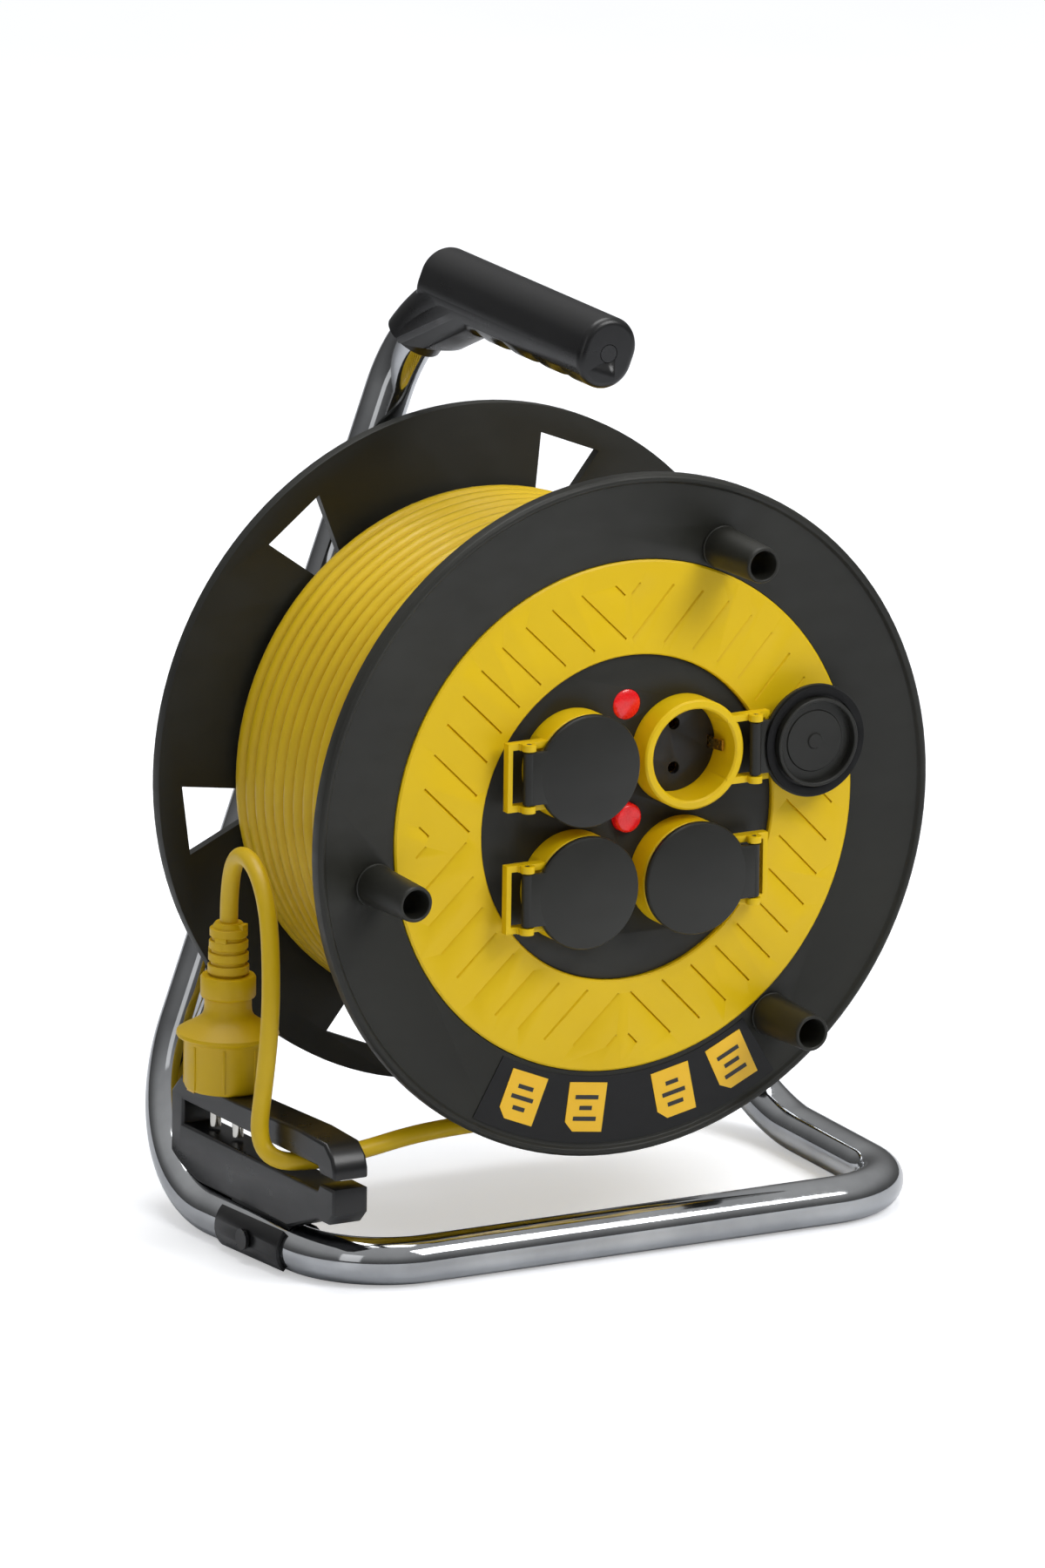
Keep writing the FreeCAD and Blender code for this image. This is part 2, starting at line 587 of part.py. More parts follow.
def build_grip():
    grip = doc.addObject("PartDesign::Body", "grip_bar")
    section = grip.newObject("Sketcher::SketchObject", "grip_section")
    section.AttachmentSupport = [(origin_of(grip, "XZ_Plane"), "")]
    section.MapMode = "FlatFace"
    half = size("grip_wide") / 2
    rise = size("grip_tall") / 2 - half
    section.addGeometry(Part.ArcOfCircle(Part.Circle(Vector(0, rise, 0), Vector(0, 0, 1), half), 0, math.pi), False)
    section.addGeometry(Part.LineSegment(Vector(-half, rise, 0), Vector(-half, -rise, 0)), False)
    section.addGeometry(Part.ArcOfCircle(Part.Circle(Vector(0, -rise, 0), Vector(0, 0, 1), half), math.pi, 2 * math.pi), False)
    section.addGeometry(Part.LineSegment(Vector(half, -rise, 0), Vector(half, rise, 0)), False)
    for first, second in ((0, 1), (1, 2), (2, 3), (3, 0)):
        section.addConstraint(Sketcher.Constraint("Tangent", first, 2, second, 1))
    section.addConstraint(Sketcher.Constraint("PointOnObject", 0, 3, -2))
    section.addConstraint(Sketcher.Constraint("Symmetric", 0, 3, 2, 3, -1, 1))
    number = section.addConstraint(Sketcher.Constraint("Radius", 0, half))
    section.setExpression("Constraints[%d]" % number, named("grip_wide / 2"))
    number = section.addConstraint(Sketcher.Constraint("DistanceY", 2, 3, 0, 3, 2 * rise))
    section.setExpression("Constraints[%d]" % number, named("grip_tall - grip_wide"))
    bar = grip.newObject("PartDesign::Pad", "grip_pad")
    bar.Profile = section
    bar.Reversed = True
    bind(bar, Length="leg_depth - grip_back - grip_front")
    place(grip, "grip_shift", "grip_front", "grip_height")
    grip.Placement.Rotation = FreeCAD.Rotation(Vector(0, 1, 0), 1)
    bind(grip, **{"Placement.Rotation.Angle": "grip_roll * 1deg"})
    doc.recompute()
    rounding = grip.newObject("PartDesign::Fillet", "grip_rounding")
    rounding.Base = (bar, ["Face%d" % number for number in end_faces(bar.Shape)])
    bind(rounding, Radius="grip_wide / 8")
    doc.recompute()

    scallops = []
    below = FreeCAD.Rotation(Vector(0, 1, 0), size("grip_roll")).multVec(Vector(0, 0, -1))
    along = below.cross(Vector(0, 1, 0))
    drop = size("grip_tall") / 2 + size("scallop_radius") - size("scallop_deep")
    for step in range(int(size("scallop_count"))):
        depth = size("scallop_first") + step * size("scallop_pitch")
        middle = spot(size("grip_shift"), depth, size("grip_height")) + below * drop
        notch = Part.makeCylinder(size("scallop_radius"), 2 * size("grip_wide"), middle - along * size("grip_wide"), along)
        scallops.append(shaped("scallop_%d" % (step + 1), notch))

    points, _, _ = stand_tube()
    whole = fuse("grip_whole", [cut("grip_carved", grip, scallops), shaped("grip_heel", grip_heel(points))])
    clear = size("tube_radius") + size("fit_gap")
    path = bent_path(points[:3], [size("top_bend")])
    channel = swept(path, clear)
    end_room = Part.makeCylinder(clear, 2.0, points[0], Vector(0, -1, 0))
    mouth = spot(size("grip_shift"), 0, size("grip_height"))
    forward = Vector(0, 1, 0)
    sink = size("grip_front") + size("grip_screw_sink")
    screw_hole = Part.makeCylinder(size("grip_screw_radius") + size("fit_gap"), size("grip_tube_front"), mouth, forward)
    head_hole = Part.makeCylinder(2 * size("grip_screw_radius"), sink, mouth, forward)
    room = shaped("grip_channel", channel.fuse(end_room).fuse(screw_hole).fuse(head_hole))
    node("grip", cut("grip", whole, [room]))

    head = rod("grip_screw_head", "2 * grip_screw_radius - seat_gap", "grip_screw_sink", "grip_shift", "grip_front", "grip_height")
    shank = rod("grip_screw_shank", "grip_screw_radius - fit_gap", "grip_screw_long", "grip_shift",
                "grip_front + grip_screw_sink", "grip_height")
    node("grip_screw", fuse("grip_screw", [head, shank]))


def grip_heel(points):
    """The grip's rear part, which follows the tube's bend down to the sleeve's end."""
    top = points[1]
    down = (points[2] - top).normalize()
    radius = size("top_bend")
    section = size("grip_sleeve")
    centre = top + down * radius + Vector(0, -radius, 0)
    angle = math.asin((radius - size("sleeve_long")) / radius)
    way = Vector(0, math.cos(angle), 0) - down * math.sin(angle)
    end = centre + way * radius
    start = centre - down * radius
    half = (math.pi / 2 + angle) / 2
    middle = centre + (Vector(0, math.cos(half), 0) - down * math.sin(half)) * radius
    heel = swept(Part.Wire([Part.Arc(start, middle, end).toShape()]), section)
    fill_from = start + down * (size("grip_tall") / 2 - section + 1)
    fill_to = end + Vector(0, -4, 0)
    fill = Part.makeCylinder(section - 1, (fill_to - fill_from).Length, fill_from, fill_to - fill_from)
    below = Part.makeBox(80, 120, 40, end + Vector(-40, -90, -40))
    return heel.fuse(fill.cut(below))


def end_faces(shape):
    """Numbers of the flat faces at the two ends of a bar along Y."""
    found = []
    for number, face in enumerate(shape.Faces, 1):
        if isinstance(face.Surface, Part.Plane) and abs(face.Surface.Axis.y) > 0.99:
            found.append(number)
    return found


# The cable guide and its clamp


def build_guide():
    half = size("guide_wide") / 2
    tip = size("guide_tip")
    rear = size("guide_back")
    thick = size("arm_thick")
    low_top = size("arm_low_top")
    low_bottom = size("tube_radius") - size("axis_height") + size("tube_radius") + size("seat_gap")
    low_tip = low_top - size("arm_low_tip")
    high_rear = size("arm_high_rear")
    high_front = size("arm_high_front")
    slit = (low_top + high_rear - thick) / 2
    slit_half = size("guide_slit") / 2
    tip_in = tip + size("tip_long")
    web_in = rear - size("guide_web")
    corners = [
        (tip + 5, low_tip),
        (tip_in, low_tip),
        (size("clamp_front"), low_bottom),
        (rear - 8, low_bottom),
        (rear, low_bottom + 8),
        (rear, high_rear - 8),
        (rear - 8, high_rear),
        (size("plug_depth") - size("plug_radius") - 4, high_rear),
        (tip_in + 16, high_front),
        (tip + 8, high_front - 1),
        (tip + 2, high_front - 6),
        (tip, slit + slit_half + 4),
        (tip, slit + slit_half),
        (tip_in - 2, slit + slit_half),
        (tip_in, high_rear - thick),
        (web_in, high_rear - thick),
        (web_in, low_top),
        (tip_in, low_top),
        (tip_in - 2, slit - slit_half),
        (tip, slit - slit_half),
        (tip, low_tip + 5),
    ]
    place_x = size("plug_x")
    ring = [spot(place_x - half, depth, z) for depth, z in corners + corners[:1]]
    body = Part.Face(Part.makePolygon(ring)).extrude(Vector(size("guide_wide"), 0, 0))
    side = [edge for edge in body.Edges if edge_along_side(edge, place_x, half)]
    body = body.makeFillet(1.5, side)
    holes = []
    for shift in (-1, 1):
        at = spot(size("plug_x"), size("plug_depth") + shift * size("prong_place"), high_rear - 20)
        holes.append(Part.makeCylinder(size("prong_radius") + size("seat_gap"), 25, at, Vector(0, 0, 1)))
    body = body.cut(Part.makeCompound(holes))
    points, _, _ = stand_tube()
    base = size("tube_radius") - size("axis_height")
    clamp_middle = size("clamp_front") + size("clamp_long") / 2
    middle_x = runner_x(clamp_middle)
    clear = swept(bent_path(points[1:5], [size("rear_bend"), size("front_bend")]), size("tube_radius") + size("seat_gap"))
    keel_wide = size("keel_wide")
    keel = Part.makeBox(keel_wide, size("clamp_long"), 6, spot(middle_x - keel_wide / 2, size("clamp_front"), low_bottom - 3))
    body = body.fuse(keel).cut(clear).removeSplitter()
    node("cable_guide", shaped("cable_guide", body))

    cheeks = []
    outer = size("tube_radius") + size("clamp_wall")
    inner = size("tube_radius") + size("fit_gap")
    along = spot(runner_x(clamp_middle + 1), clamp_middle + 1, 0) - spot(middle_x, clamp_middle, 0)
    along = along.normalize()
    start = spot(middle_x, clamp_middle, base) - along * (size("clamp_long") / 2)
    for side_turn in (0, 180):
        sector = Part.makeCylinder(outer, size("clamp_long"), start, along, size("clamp_hug"))
        sector = sector.cut(Part.makeCylinder(inner, size("clamp_long"), start, along))
        facing = sector.Solids[0].CenterOfMass - spot(middle_x, clamp_middle, base)
        now = math.degrees(math.atan2(facing.x, facing.z))
        sector.rotate(start, along, side_turn + 90 - now)
        cheeks.append(sector)
    hole = Part.makeCylinder(size("clamp_screw_radius") + size("fit_gap"), 40, spot(middle_x - 20, clamp_middle, base), Vector(1, 0, 0))
    cheeks = [cheek.cut(hole) for cheek in cheeks]
    node("tube_clamp", shaped("tube_clamp", Part.makeCompound(cheeks)))

    head_radius = 1.8 * size("clamp_screw_radius")
    clear = outer + size("seat_gap")
    way = Vector(1, 0, 0)
    head_at = spot(middle_x - clear - size("clamp_head"), clamp_middle, base)
    nut_at = spot(middle_x + clear, clamp_middle, base)
    head = Part.makeCylinder(head_radius, size("clamp_head"), head_at, way)
    shank = Part.makeCylinder(size("clamp_screw_radius"), 2 * clear + size("clamp_head"), head_at, way)
    nut = Part.makeCylinder(head_radius, size("clamp_nut"), nut_at, way)
    node("clamp_screw", shaped("clamp_screw", head.fuse(shank).fuse(nut)))


def edge_along_side(edge, place_x, half):
    """Whether an edge runs round one of the guide's two side faces."""
    xs = [vertex.Point.x for vertex in edge.Vertexes]
    return max(xs) - min(xs) < 0.01 and abs(abs(xs[0] - place_x) - half) < 0.01


# The drum


def build_drum():
    rear_face = "flange_thick + winding_room"
    rear_back = "flange_thick + winding_room + flange_thick"
    hub_bore = "hub_radius - hub_wall"
    node("front_flange", turned("front_flange", [
        (hub_bore, "seat_depth"),
        ("ring_outer + seat_gap", "seat_depth"),
        ("ring_outer + seat_gap", "rim_step"),
        ("flange_radius - rim_width", "rim_step"),
        ("flange_radius - rim_width + 1", "0.3"),
        ("flange_radius - rim_width + 2", "0"),
        ("flange_radius - 1.2", "0"),
        ("flange_radius", "1.2"),
        ("flange_radius", "flange_thick"),
        ("hub_radius + fit_gap", "flange_thick"),
        ("hub_radius + fit_gap", "flange_thick - hub_socket"),
        (hub_bore, "flange_thick - hub_socket"),
    ]))
    node("rear_flange", turned("rear_flange", [
        ("axle_radius + fit_gap + bush_wall + fit_gap", "%s - boss_long" % rear_back),
        ("boss_radius", "%s - boss_long" % rear_back),
        ("boss_radius", rear_face),
        ("hub_radius - hub_wall - seat_gap", rear_face),
        ("hub_radius - hub_wall - seat_gap", "%s + hub_socket" % rear_face),
        ("hub_radius + fit_gap", "%s + hub_socket" % rear_face),
        ("hub_radius + fit_gap", rear_face),
        ("flange_radius", rear_face),
        ("flange_radius", "%s - 1.2" % rear_back),
        ("flange_radius - 1.2", rear_back),
        ("flange_radius - rim_width", rear_back),
        ("flange_radius - rim_width - 1", "%s - rim_step" % rear_back),
        ("axle_radius + fit_gap + bush_wall + fit_gap", "%s - rim_step" % rear_back),
    ]))
    doc.recompute()
    turn = math.radians(size("window_turn"))
    corners = []
    for sign, reach in ((-1, "window_inner"), (1, "window_inner"), (1, "window_outer"), (-1, "window_outer")):
        wide = "window_narrow" if reach == "window_inner" else "window_wide"
        along = "%s * sin(window_turn * 1deg) + %d * %s * cos(window_turn * 1deg)" % (reach, sign, wide)
        across = "%s * cos(window_turn * 1deg) - %d * %s * sin(window_turn * 1deg)" % (reach, sign, wide)
        corners.append((along, across))
    pocket_round(pieces["rear_flange"], "window", corners, "window_count")

    hub = turned("hub_blank", [
        (hub_bore, "flange_thick - hub_socket"),
        ("hub_radius", "flange_thick - hub_socket"),
        ("hub_radius", "%s + hub_socket" % rear_face),
        (hub_bore, "%s + hub_socket" % rear_face),
        (hub_bore, "web_place + web_thick"),
        ("boss_radius", "web_place + web_thick"),
        ("boss_radius", "web_place + boss_long"),
        ("axle_radius + fit_gap + bush_wall + fit_gap", "web_place + boss_long"),
        ("axle_radius + fit_gap + bush_wall + fit_gap", "web_place"),
        (hub_bore, "web_place"),
    ])
    columns = []
    column_holes = []
    flange_holes = []
    rear_boss = "%s - boss_long" % rear_back
    front_bush = tube("front_bush", "axle_radius + fit_gap + bush_wall", "axle_radius + fit_gap", "boss_long", "web_place")
    rear_bush = tube("rear_bush", "axle_radius + fit_gap + bush_wall", "axle_radius + fit_gap", "boss_long - rim_step", rear_boss)
    node("axle_bushes", group("axle_bushes", [front_bush, rear_bush]))

    screws = []
    screw_seat = "%s - rim_step" % rear_back
    for step in range(4):
        x = "column_place * cos(%d deg)" % (45 + 90 * step)
        z = "column_place * sin(%d deg)" % (45 + 90 * step)
        columns.append(rod("column_%d" % step, "column_radius", "column_long", x, "%s - column_long" % rear_face, z))
        column_holes.append(rod("column_hole_%d" % step, "screw_radius + fit_gap", "column_long", x, "%s - column_long + 4" % rear_face, z))
        flange_holes.append(rod("flange_hole_%d" % step, "screw_radius + fit_gap", "20", x, "%s - 10" % rear_back, z))
        head = rod("flange_head_%d" % step, "2 * screw_radius", "1.8", x, screw_seat, z)
        shank = rod("flange_shank_%d" % step, "screw_radius", "screw_long", x, "%s - screw_long" % screw_seat, z)
        screws.append(fuse("flange_screw_%d" % step, [head, shank]))
    node("flange_screws", group("flange_screws", screws))
    node("drum_hub", cut("drum_hub", fuse("hub_whole", [hub] + columns), column_holes))
    rear = pieces["rear_flange"]
    rear.Label = "rear_flange_blank"
    node("rear_flange", cut("rear_flange_drilled", rear, flange_holes))


def tube(name, outer, inner, length, depth, x="0", z="0"):
    """A plain tube along +Y."""
    return cut(name, rod(name + "_out", outer, length, x, depth, z), [rod(name + "_in", inner, length + " + 2", x, depth + " - 1", z)])


def build_axle():
    rear_back = "flange_thick + winding_room + flange_thick"
    plate_front = "leg_depth - tube_radius - seat_gap - bracket_thick"
    plate_rear = "leg_depth - tube_radius - seat_gap"
    groove_front = "web_place - clip_thick - 2 * seat_gap"
    node("axle", turned("axle", [
        ("0", "axle_front"),
        ("axle_radius - 1", "axle_front"),
        ("axle_radius", "axle_front + 1"),
        ("axle_radius", groove_front),
        ("axle_radius - clip_groove", groove_front),
        ("axle_radius - clip_groove", "%s + clip_thick + fit_gap" % groove_front),
        ("axle_radius", "%s + clip_thick + fit_gap" % groove_front),
        ("axle_radius", plate_front),
        ("tail_radius", plate_front),
        ("tail_radius", "%s + nut_thick + 2" % plate_rear),
        ("0", "%s + nut_thick + 2" % plate_rear),
    ]))
    depth = worth(plate_rear)
    nut = hexagon(size("nut_radius"), spot(0, depth, 0), size("nut_thick"))
    bore = Part.makeCylinder(size("tail_radius") + size("fit_gap") / 2, size("nut_thick"), spot(0, depth, 0), Vector(0, 1, 0))
    node("axle_nut", shaped("axle_nut", nut.cut(bore)))
    node("retaining_ring", tube(
        "retaining_ring", "clip_radius", "axle_radius - clip_groove + fit_gap", "clip_thick", groove_front + " + fit_gap / 2"))
    node("thrust_washer", tube(
        "thrust_washer", "washer_radius", "axle_radius + fit_gap",
        "%s - (%s - rim_step) - 2 * seat_gap" % (plate_front, rear_back),
        "%s - rim_step + seat_gap" % rear_back))


# Front of the drum


def build_trim():
    ring = turned("ring_blank", [
        ("ring_inner", "seat_depth"),
        ("ring_outer", "seat_depth"),
        ("ring_outer", "ring_edge + 0.6"),
        ("ring_outer - 0.8", "ring_edge"),
        ("ring_inner + 0.6", "-ring_crown"),
        ("ring_inner", "0.6 - ring_crown"),
    ])
    grooves = shaped("ring_grooves", groove_shape())
    node("trim_ring", cut("trim_ring", ring, [grooves]))


def groove_shape():
    """Slanted grooves of the ring, along the diagonal of each quadrant, on the ring's cone."""
    inner = size("ring_inner") + size("groove_inset")
    outer = size("ring_outer") - 2 * size("groove_inset")
    slope = (size("ring_edge") + size("ring_crown")) / (size("ring_outer") - size("ring_inner"))
    cutters = []
    for across, rising in ((-1, 1), (1, 1), (-1, -1), (1, -1)):
        direction = Vector(across, 0, rising).normalize()
        beside = Vector(across, 0, -rising).normalize()
        for step in range(-5, 6):
            offset = step * size("groove_pitch")
            start = max(math.sqrt(max(0.0, inner ** 2 - offset ** 2)), abs(offset) + size("groove_wide"))
            stop = math.sqrt(outer ** 2 - offset ** 2)
            if stop - start < 2 * size("groove_wide"):
                continue
            side = beside * (size("groove_wide") / 2)
            if side.z < 0:
                side = side * -1
            wires = []
            for reach in (start, stop):
                end = direction * reach + beside * offset
                depth = slope * (end.Length - size("ring_inner")) - size("ring_crown")
                above = end + Vector(0, depth - 2, 0)
                below = end + side * 0.8 + Vector(0, depth + size("groove_deep"), 0)
                ring = [above - side, above + side, below, above - side]
                wires.append(Part.makePolygon([spot(p.x, p.y, p.z) for p in ring]))
            cutters.append(Part.makeLoft(wires, True, True))
    return Part.makeCompound(cutters)


def outlet_spots():
    """Each outlet's name, with its side of the axis in X and Z."""
    return [("top_left", -1, 1), ("top_right", 1, 1), ("bottom_left", -1, -1), ("bottom_right", 1, -1)]


def build_plate():
    disc = rod("plate_disc", "plate_radius", "seat_depth")
    holes = [
        rod("button_hole", "button_radius + 0.2", "seat_depth + 2", "0", "-1"),
        rod("lamp_hole", "lamp_radius + 0.1", "seat_depth + 2", "0", "-1", "lamp_place"),
    ]
    for name, across, rising in outlet_spots():
        holes.append(rod(name + "_hole", "cavity_radius + outlet_wall + fit_gap", "seat_depth + 2",
                         "%d * outlet_place" % across, "-1", "%d * outlet_place" % rising))
    node("socket_plate", cut("socket_plate", disc, holes))


def build_outlet(name, across, rising):
    """Collar, insert, contacts and earth springs of one outlet."""
    x = "%d * outlet_place" % across
    z = "%d * outlet_place" % rising
    cup = turned(name + "_cup", [
        ("0", "cup_depth - cup_wall"),
        ("cavity_radius - cup_wall", "cup_depth - cup_wall"),
        ("cavity_radius - cup_wall", "insert_front + insert_thick"),
        ("cavity_radius", "insert_front + insert_thick"),
        ("cavity_radius", "0.8 - collar_rise"),
        ("cavity_radius + 0.8", "-collar_rise"),
        ("cavity_radius + outlet_wall - 0.8", "-collar_rise"),
        ("cavity_radius + outlet_wall", "0.8 - collar_rise"),
        ("cavity_radius + outlet_wall", "seat_depth"),
        ("cavity_radius + outlet_wall + foot_reach", "seat_depth"),
        ("cavity_radius + outlet_wall + foot_reach", "seat_depth + foot_thick"),
        ("cavity_radius + cup_wall", "seat_depth + foot_thick"),
        ("cavity_radius + cup_wall", "cup_depth"),
        ("0", "cup_depth"),
    ], x, z)
    parts = [cup]
    bores = []
    hinge_x = "%s + %d * hinge_place" % (x, across)
    for side in (-1, 1):
        low = "%s + %s" % (z, "ear_inside" if side > 0 else "-ear_inside - ear_thick")
        arm_x = "%s + cavity_radius - 4" % x if across > 0 else "%s - hinge_place - ear_over" % x
        guard_x = "%s + hinge_place" % x if across > 0 else "%s - hinge_place - ear_end" % x
        tag = "%s_ear_%s" % (name, "upper" if side > 0 else "lower")
        parts.append(block(tag, "hinge_place + ear_over - cavity_radius + 4", "ear_deep", "ear_thick", arm_x, "-collar_rise", low))
        parts.append(block(tag + "_guard", "ear_end", "ear_deep - guard_sink", "ear_thick", guard_x, "guard_sink - collar_rise", low))
        parts.append(rod(tag + "_end", "boss_ear", "ear_thick", hinge_x, "-hinge_rise", low, UPRIGHT))
        bores.append(rod(tag + "_bore", "pin_radius + fit_gap", "ear_thick + 2", hinge_x, "-hinge_rise", low + " - 1", UPRIGHT))
    bar_x = "%s + hinge_place + ear_end - guard_wide" % x if across > 0 else "%s - hinge_place - ear_end" % x
    parts.append(block(name + "_bar", "guard_wide", "ear_deep - guard_sink", "2 * (ear_inside + ear_thick)",
                       bar_x, "guard_sink - collar_rise", "%s - ear_inside - ear_thick" % z))
    bores.append(rod(name + "_cavity", "cavity_radius", "collar_rise", x, "insert_front - collar_rise", z))
    node("collar_" + name, cut("collar_" + name, fuse(name + "_yoke", parts), bores))

    face = rod(name + "_face", "cavity_radius - seat_gap / 2", "insert_thick", x, "insert_front", z)
    slots = []
    sleeves = []
    springs = []
    for side in (-1, 1):
        pin_z = "%s + %d * contact_place" % (z, side)
        slots.append(rod("%s_hole_%d" % (name, side + 1), "contact_hole", "insert_thick + 2", x, "insert_front - 1", pin_z))
        sleeves.append(tube("%s_sleeve_%d" % (name, side + 1), "contact_hole + sleeve_wall", "contact_hole - fit_gap",
                            "cup_depth - cup_wall - insert_front - insert_thick", "insert_front + insert_thick", x, pin_z))
        low_x = "%s + earth_place - seat_gap" % x if side > 0 else "%s - earth_place - earth_thick - seat_gap" % x
        slots.append(block("%s_slot_%d" % (name, side + 1), "earth_thick + 2 * seat_gap", "insert_thick + 2",
                           "earth_wide + 2 * seat_gap", low_x, "insert_front - 1", "%s - earth_wide / 2 - seat_gap" % z))
        springs.append(earth_spring("%s_spring_%d" % (name, side + 1), side, x, z))
    node("insert_" + name, cut("insert_" + name, face, slots))
    node("earth_springs_" + name, group("earth_springs_" + name, springs))
    return sleeves


def earth_spring(name, side, x, z):
    """A bent strip that stands up the outlet's wall."""
    body = doc.addObject("PartDesign::Body", name)
    inner = "%d * earth_place" % side
    outer = "%d * (earth_place + earth_thick)" % side
    sketch = outline(body, name + "_outline", "XY_Plane", [
        (inner, "cup_depth - cup_wall"),
        (inner, "insert_front - earth_straight"),
        ("%d * (earth_place + 1.2)" % side, "insert_front - earth_reach"),
        ("%d * (earth_place + 2.2)" % side, "insert_front - earth_reach"),
        (outer, "insert_front - earth_straight"),
        (outer, "cup_depth - cup_wall"),
    ])
    pad = body.newObject("PartDesign::Pad", name + "_pad")
    pad.Profile = sketch
    pad.Midplane = True
    bind(pad, Length="earth_wide")
    return place(body, x, "0", z)


def build_lid(name, across, rising, is_open):
    """A lid with its tab, barrel and rib, and its seal; drawn shut, then opened."""
    x = "%d * outlet_place" % across
    z = "%d * outlet_place" % rising
    front = "-hinge_rise - barrel_radius"
    back = "-hinge_rise - barrel_radius + lid_thick"
    disc = turned(name + "_disc", [
        ("0", front),
        ("lid_radius - 1", front),
        ("lid_radius", "%s + 1" % front),
        ("lid_radius", back),
        ("lid_plug_radius", back),
        ("lid_plug_radius", "%s + lid_plug_long" % back),
        ("lid_plug_radius - lid_plug_wall", "%s + lid_plug_long" % back),
        ("lid_plug_radius - lid_plug_wall", back),
        ("0", back),
    ], x, z)
    tab_x = "%s + lid_radius - 8" % x if across > 0 else "%s - hinge_place" % x
    hinge_x = "%s + %d * hinge_place" % (x, across)
    tab = block(name + "_tab", "hinge_place - lid_radius + 8", "lid_thick", "2 * barrel_half", tab_x, front, "%s - barrel_half" % z)
    barrel = rod(name + "_barrel", "barrel_radius", "2 * barrel_half", hinge_x, "-hinge_rise", "%s - barrel_half" % z, UPRIGHT)
    bore = rod(name + "_bore", "pin_radius + fit_gap", "2 * barrel_half + 2", hinge_x, "-hinge_rise", "%s - barrel_half - 1" % z, UPRIGHT)
    lid = cut(name + "_shut", fuse(name + "_solid", [disc, tab, barrel]), [bore])
    seal = tube(name + "_seal", "seal_outer", "seal_inner", "seal_thick", back, x, z)
    if is_open:
        lid = opened(name + "_open", lid, hinge_x)
        seal = opened(name + "_seal_open", seal, hinge_x)
    node("lid_" + name, lid)
    node("seal_" + name, seal)


def opened(name, thing, hinge_x):
    """A link to a shut lid or seal, turned half round about its hinge axis."""
    link = doc.addObject("App::Link", name)
    link.LinkedObject = thing
    link.LinkTransform = True
    link.Placement.Rotation = FreeCAD.Rotation(Vector(0, 0, 1), 180)
    bind(link, **{"Placement.Base.x": "2 * (%s)" % hinge_x, "Placement.Base.y": "2 * (face_place - hinge_rise)"})
    return link


def build_outlets():
    sleeves = []
    pins = []
    for name, across, rising in outlet_spots():
        sleeves += build_outlet(name, across, rising)
        build_lid(name, across, rising, name == "top_right")
        pins.append(rod(name + "_pin", "pin_radius", "2 * (ear_inside + ear_thick)",
                        "%d * (outlet_place + hinge_place)" % across, "-hinge_rise",
                        "%d * outlet_place - ear_inside - ear_thick" % rising, UPRIGHT))
    node("contact_sleeves", group("contact_sleeves", sleeves))
    node("hinge_pins", group("hinge_pins", pins))


# Lamp, reset button and overload cutout


def build_controls():
    lens = turned("lamp_lens", [
        ("0", "-lamp_rise"),
        ("lamp_radius - 2", "-lamp_rise"),
        ("lamp_radius", "0"),
        ("lamp_radius", "seat_depth"),
        ("lamp_radius + lamp_foot", "seat_depth"),
        ("lamp_radius + lamp_foot", "seat_depth + 1.2"),
        ("0", "seat_depth + 1.2"),
    ], "0", "lamp_place")
    node("lamp_lens", lens)
    bulb = rod("bulb_glass", "bulb_radius", "bulb_long", "0", "seat_depth + 1.2", "lamp_place")
    node("lamp_bulb", bulb)

    foot = "seat_depth + seat_gap"
    button = turned("reset_button", [
        ("0", "-button_rise"),
        ("button_radius - 1", "-button_rise"),
        ("button_radius", "1 - button_rise"),
        ("button_radius", foot),
        ("button_foot", foot),
        ("button_foot", "%s + foot_long" % foot),
        ("0", "%s + foot_long" % foot),
    ])
    node("reset_button", button)

    room = "%s + foot_long + button_travel + spring_wire * (spring_turns + 1) + cutout_floor" % foot
    node("overload_cutout", turned("overload_cutout", [
        ("button_foot + seat_gap", "seat_depth"),
        ("cutout_radius", "seat_depth"),
        ("cutout_radius", "seat_depth + cutout_long"),
        ("0", "seat_depth + cutout_long"),
        ("0", room),
        ("button_foot + seat_gap", room),
    ]))
    start = worth(foot + " + foot_long") + size("spring_wire") / 2
    end = worth(room) - size("spring_wire") / 2
    turns = size("spring_turns")
    path = helix_path(size("spring_radius"), start, end, turns, 0.0, 0.0)
    node("button_spring", shaped("button_spring", swept(path, size("spring_wire") / 2)))

    front = "web_place - block_deep"
    body = block("terminal_body", "block_wide", "block_deep", "block_tall", "-block_wide / 2", front, "-block_tall / 2 - block_place")
    screws = []
    for step in (-1, 0, 1):
        screws.append(rod("terminal_%d" % (step + 1), "terminal_radius", "4", "%d * block_wide / 3.4" % step, front + " - 1", "-block_place"))
    node("terminal_block", cut("terminal_block", body, screws))
    anchor = block("anchor_body", "anchor_wide", "anchor_deep", "anchor_tall",
                   "-anchor_wide / 2", "web_place - anchor_deep", "anchor_place - anchor_tall / 2")
    way = rod("anchor_way", "cable_diameter / 2 + fit_gap", "anchor_wide + 4",
              "-anchor_wide / 2 - 2", "web_place - anchor_deep / 2", "anchor_place", ALONG_X)
    node("cable_anchor", cut("cable_anchor", anchor, [way]))


# Pegs and label


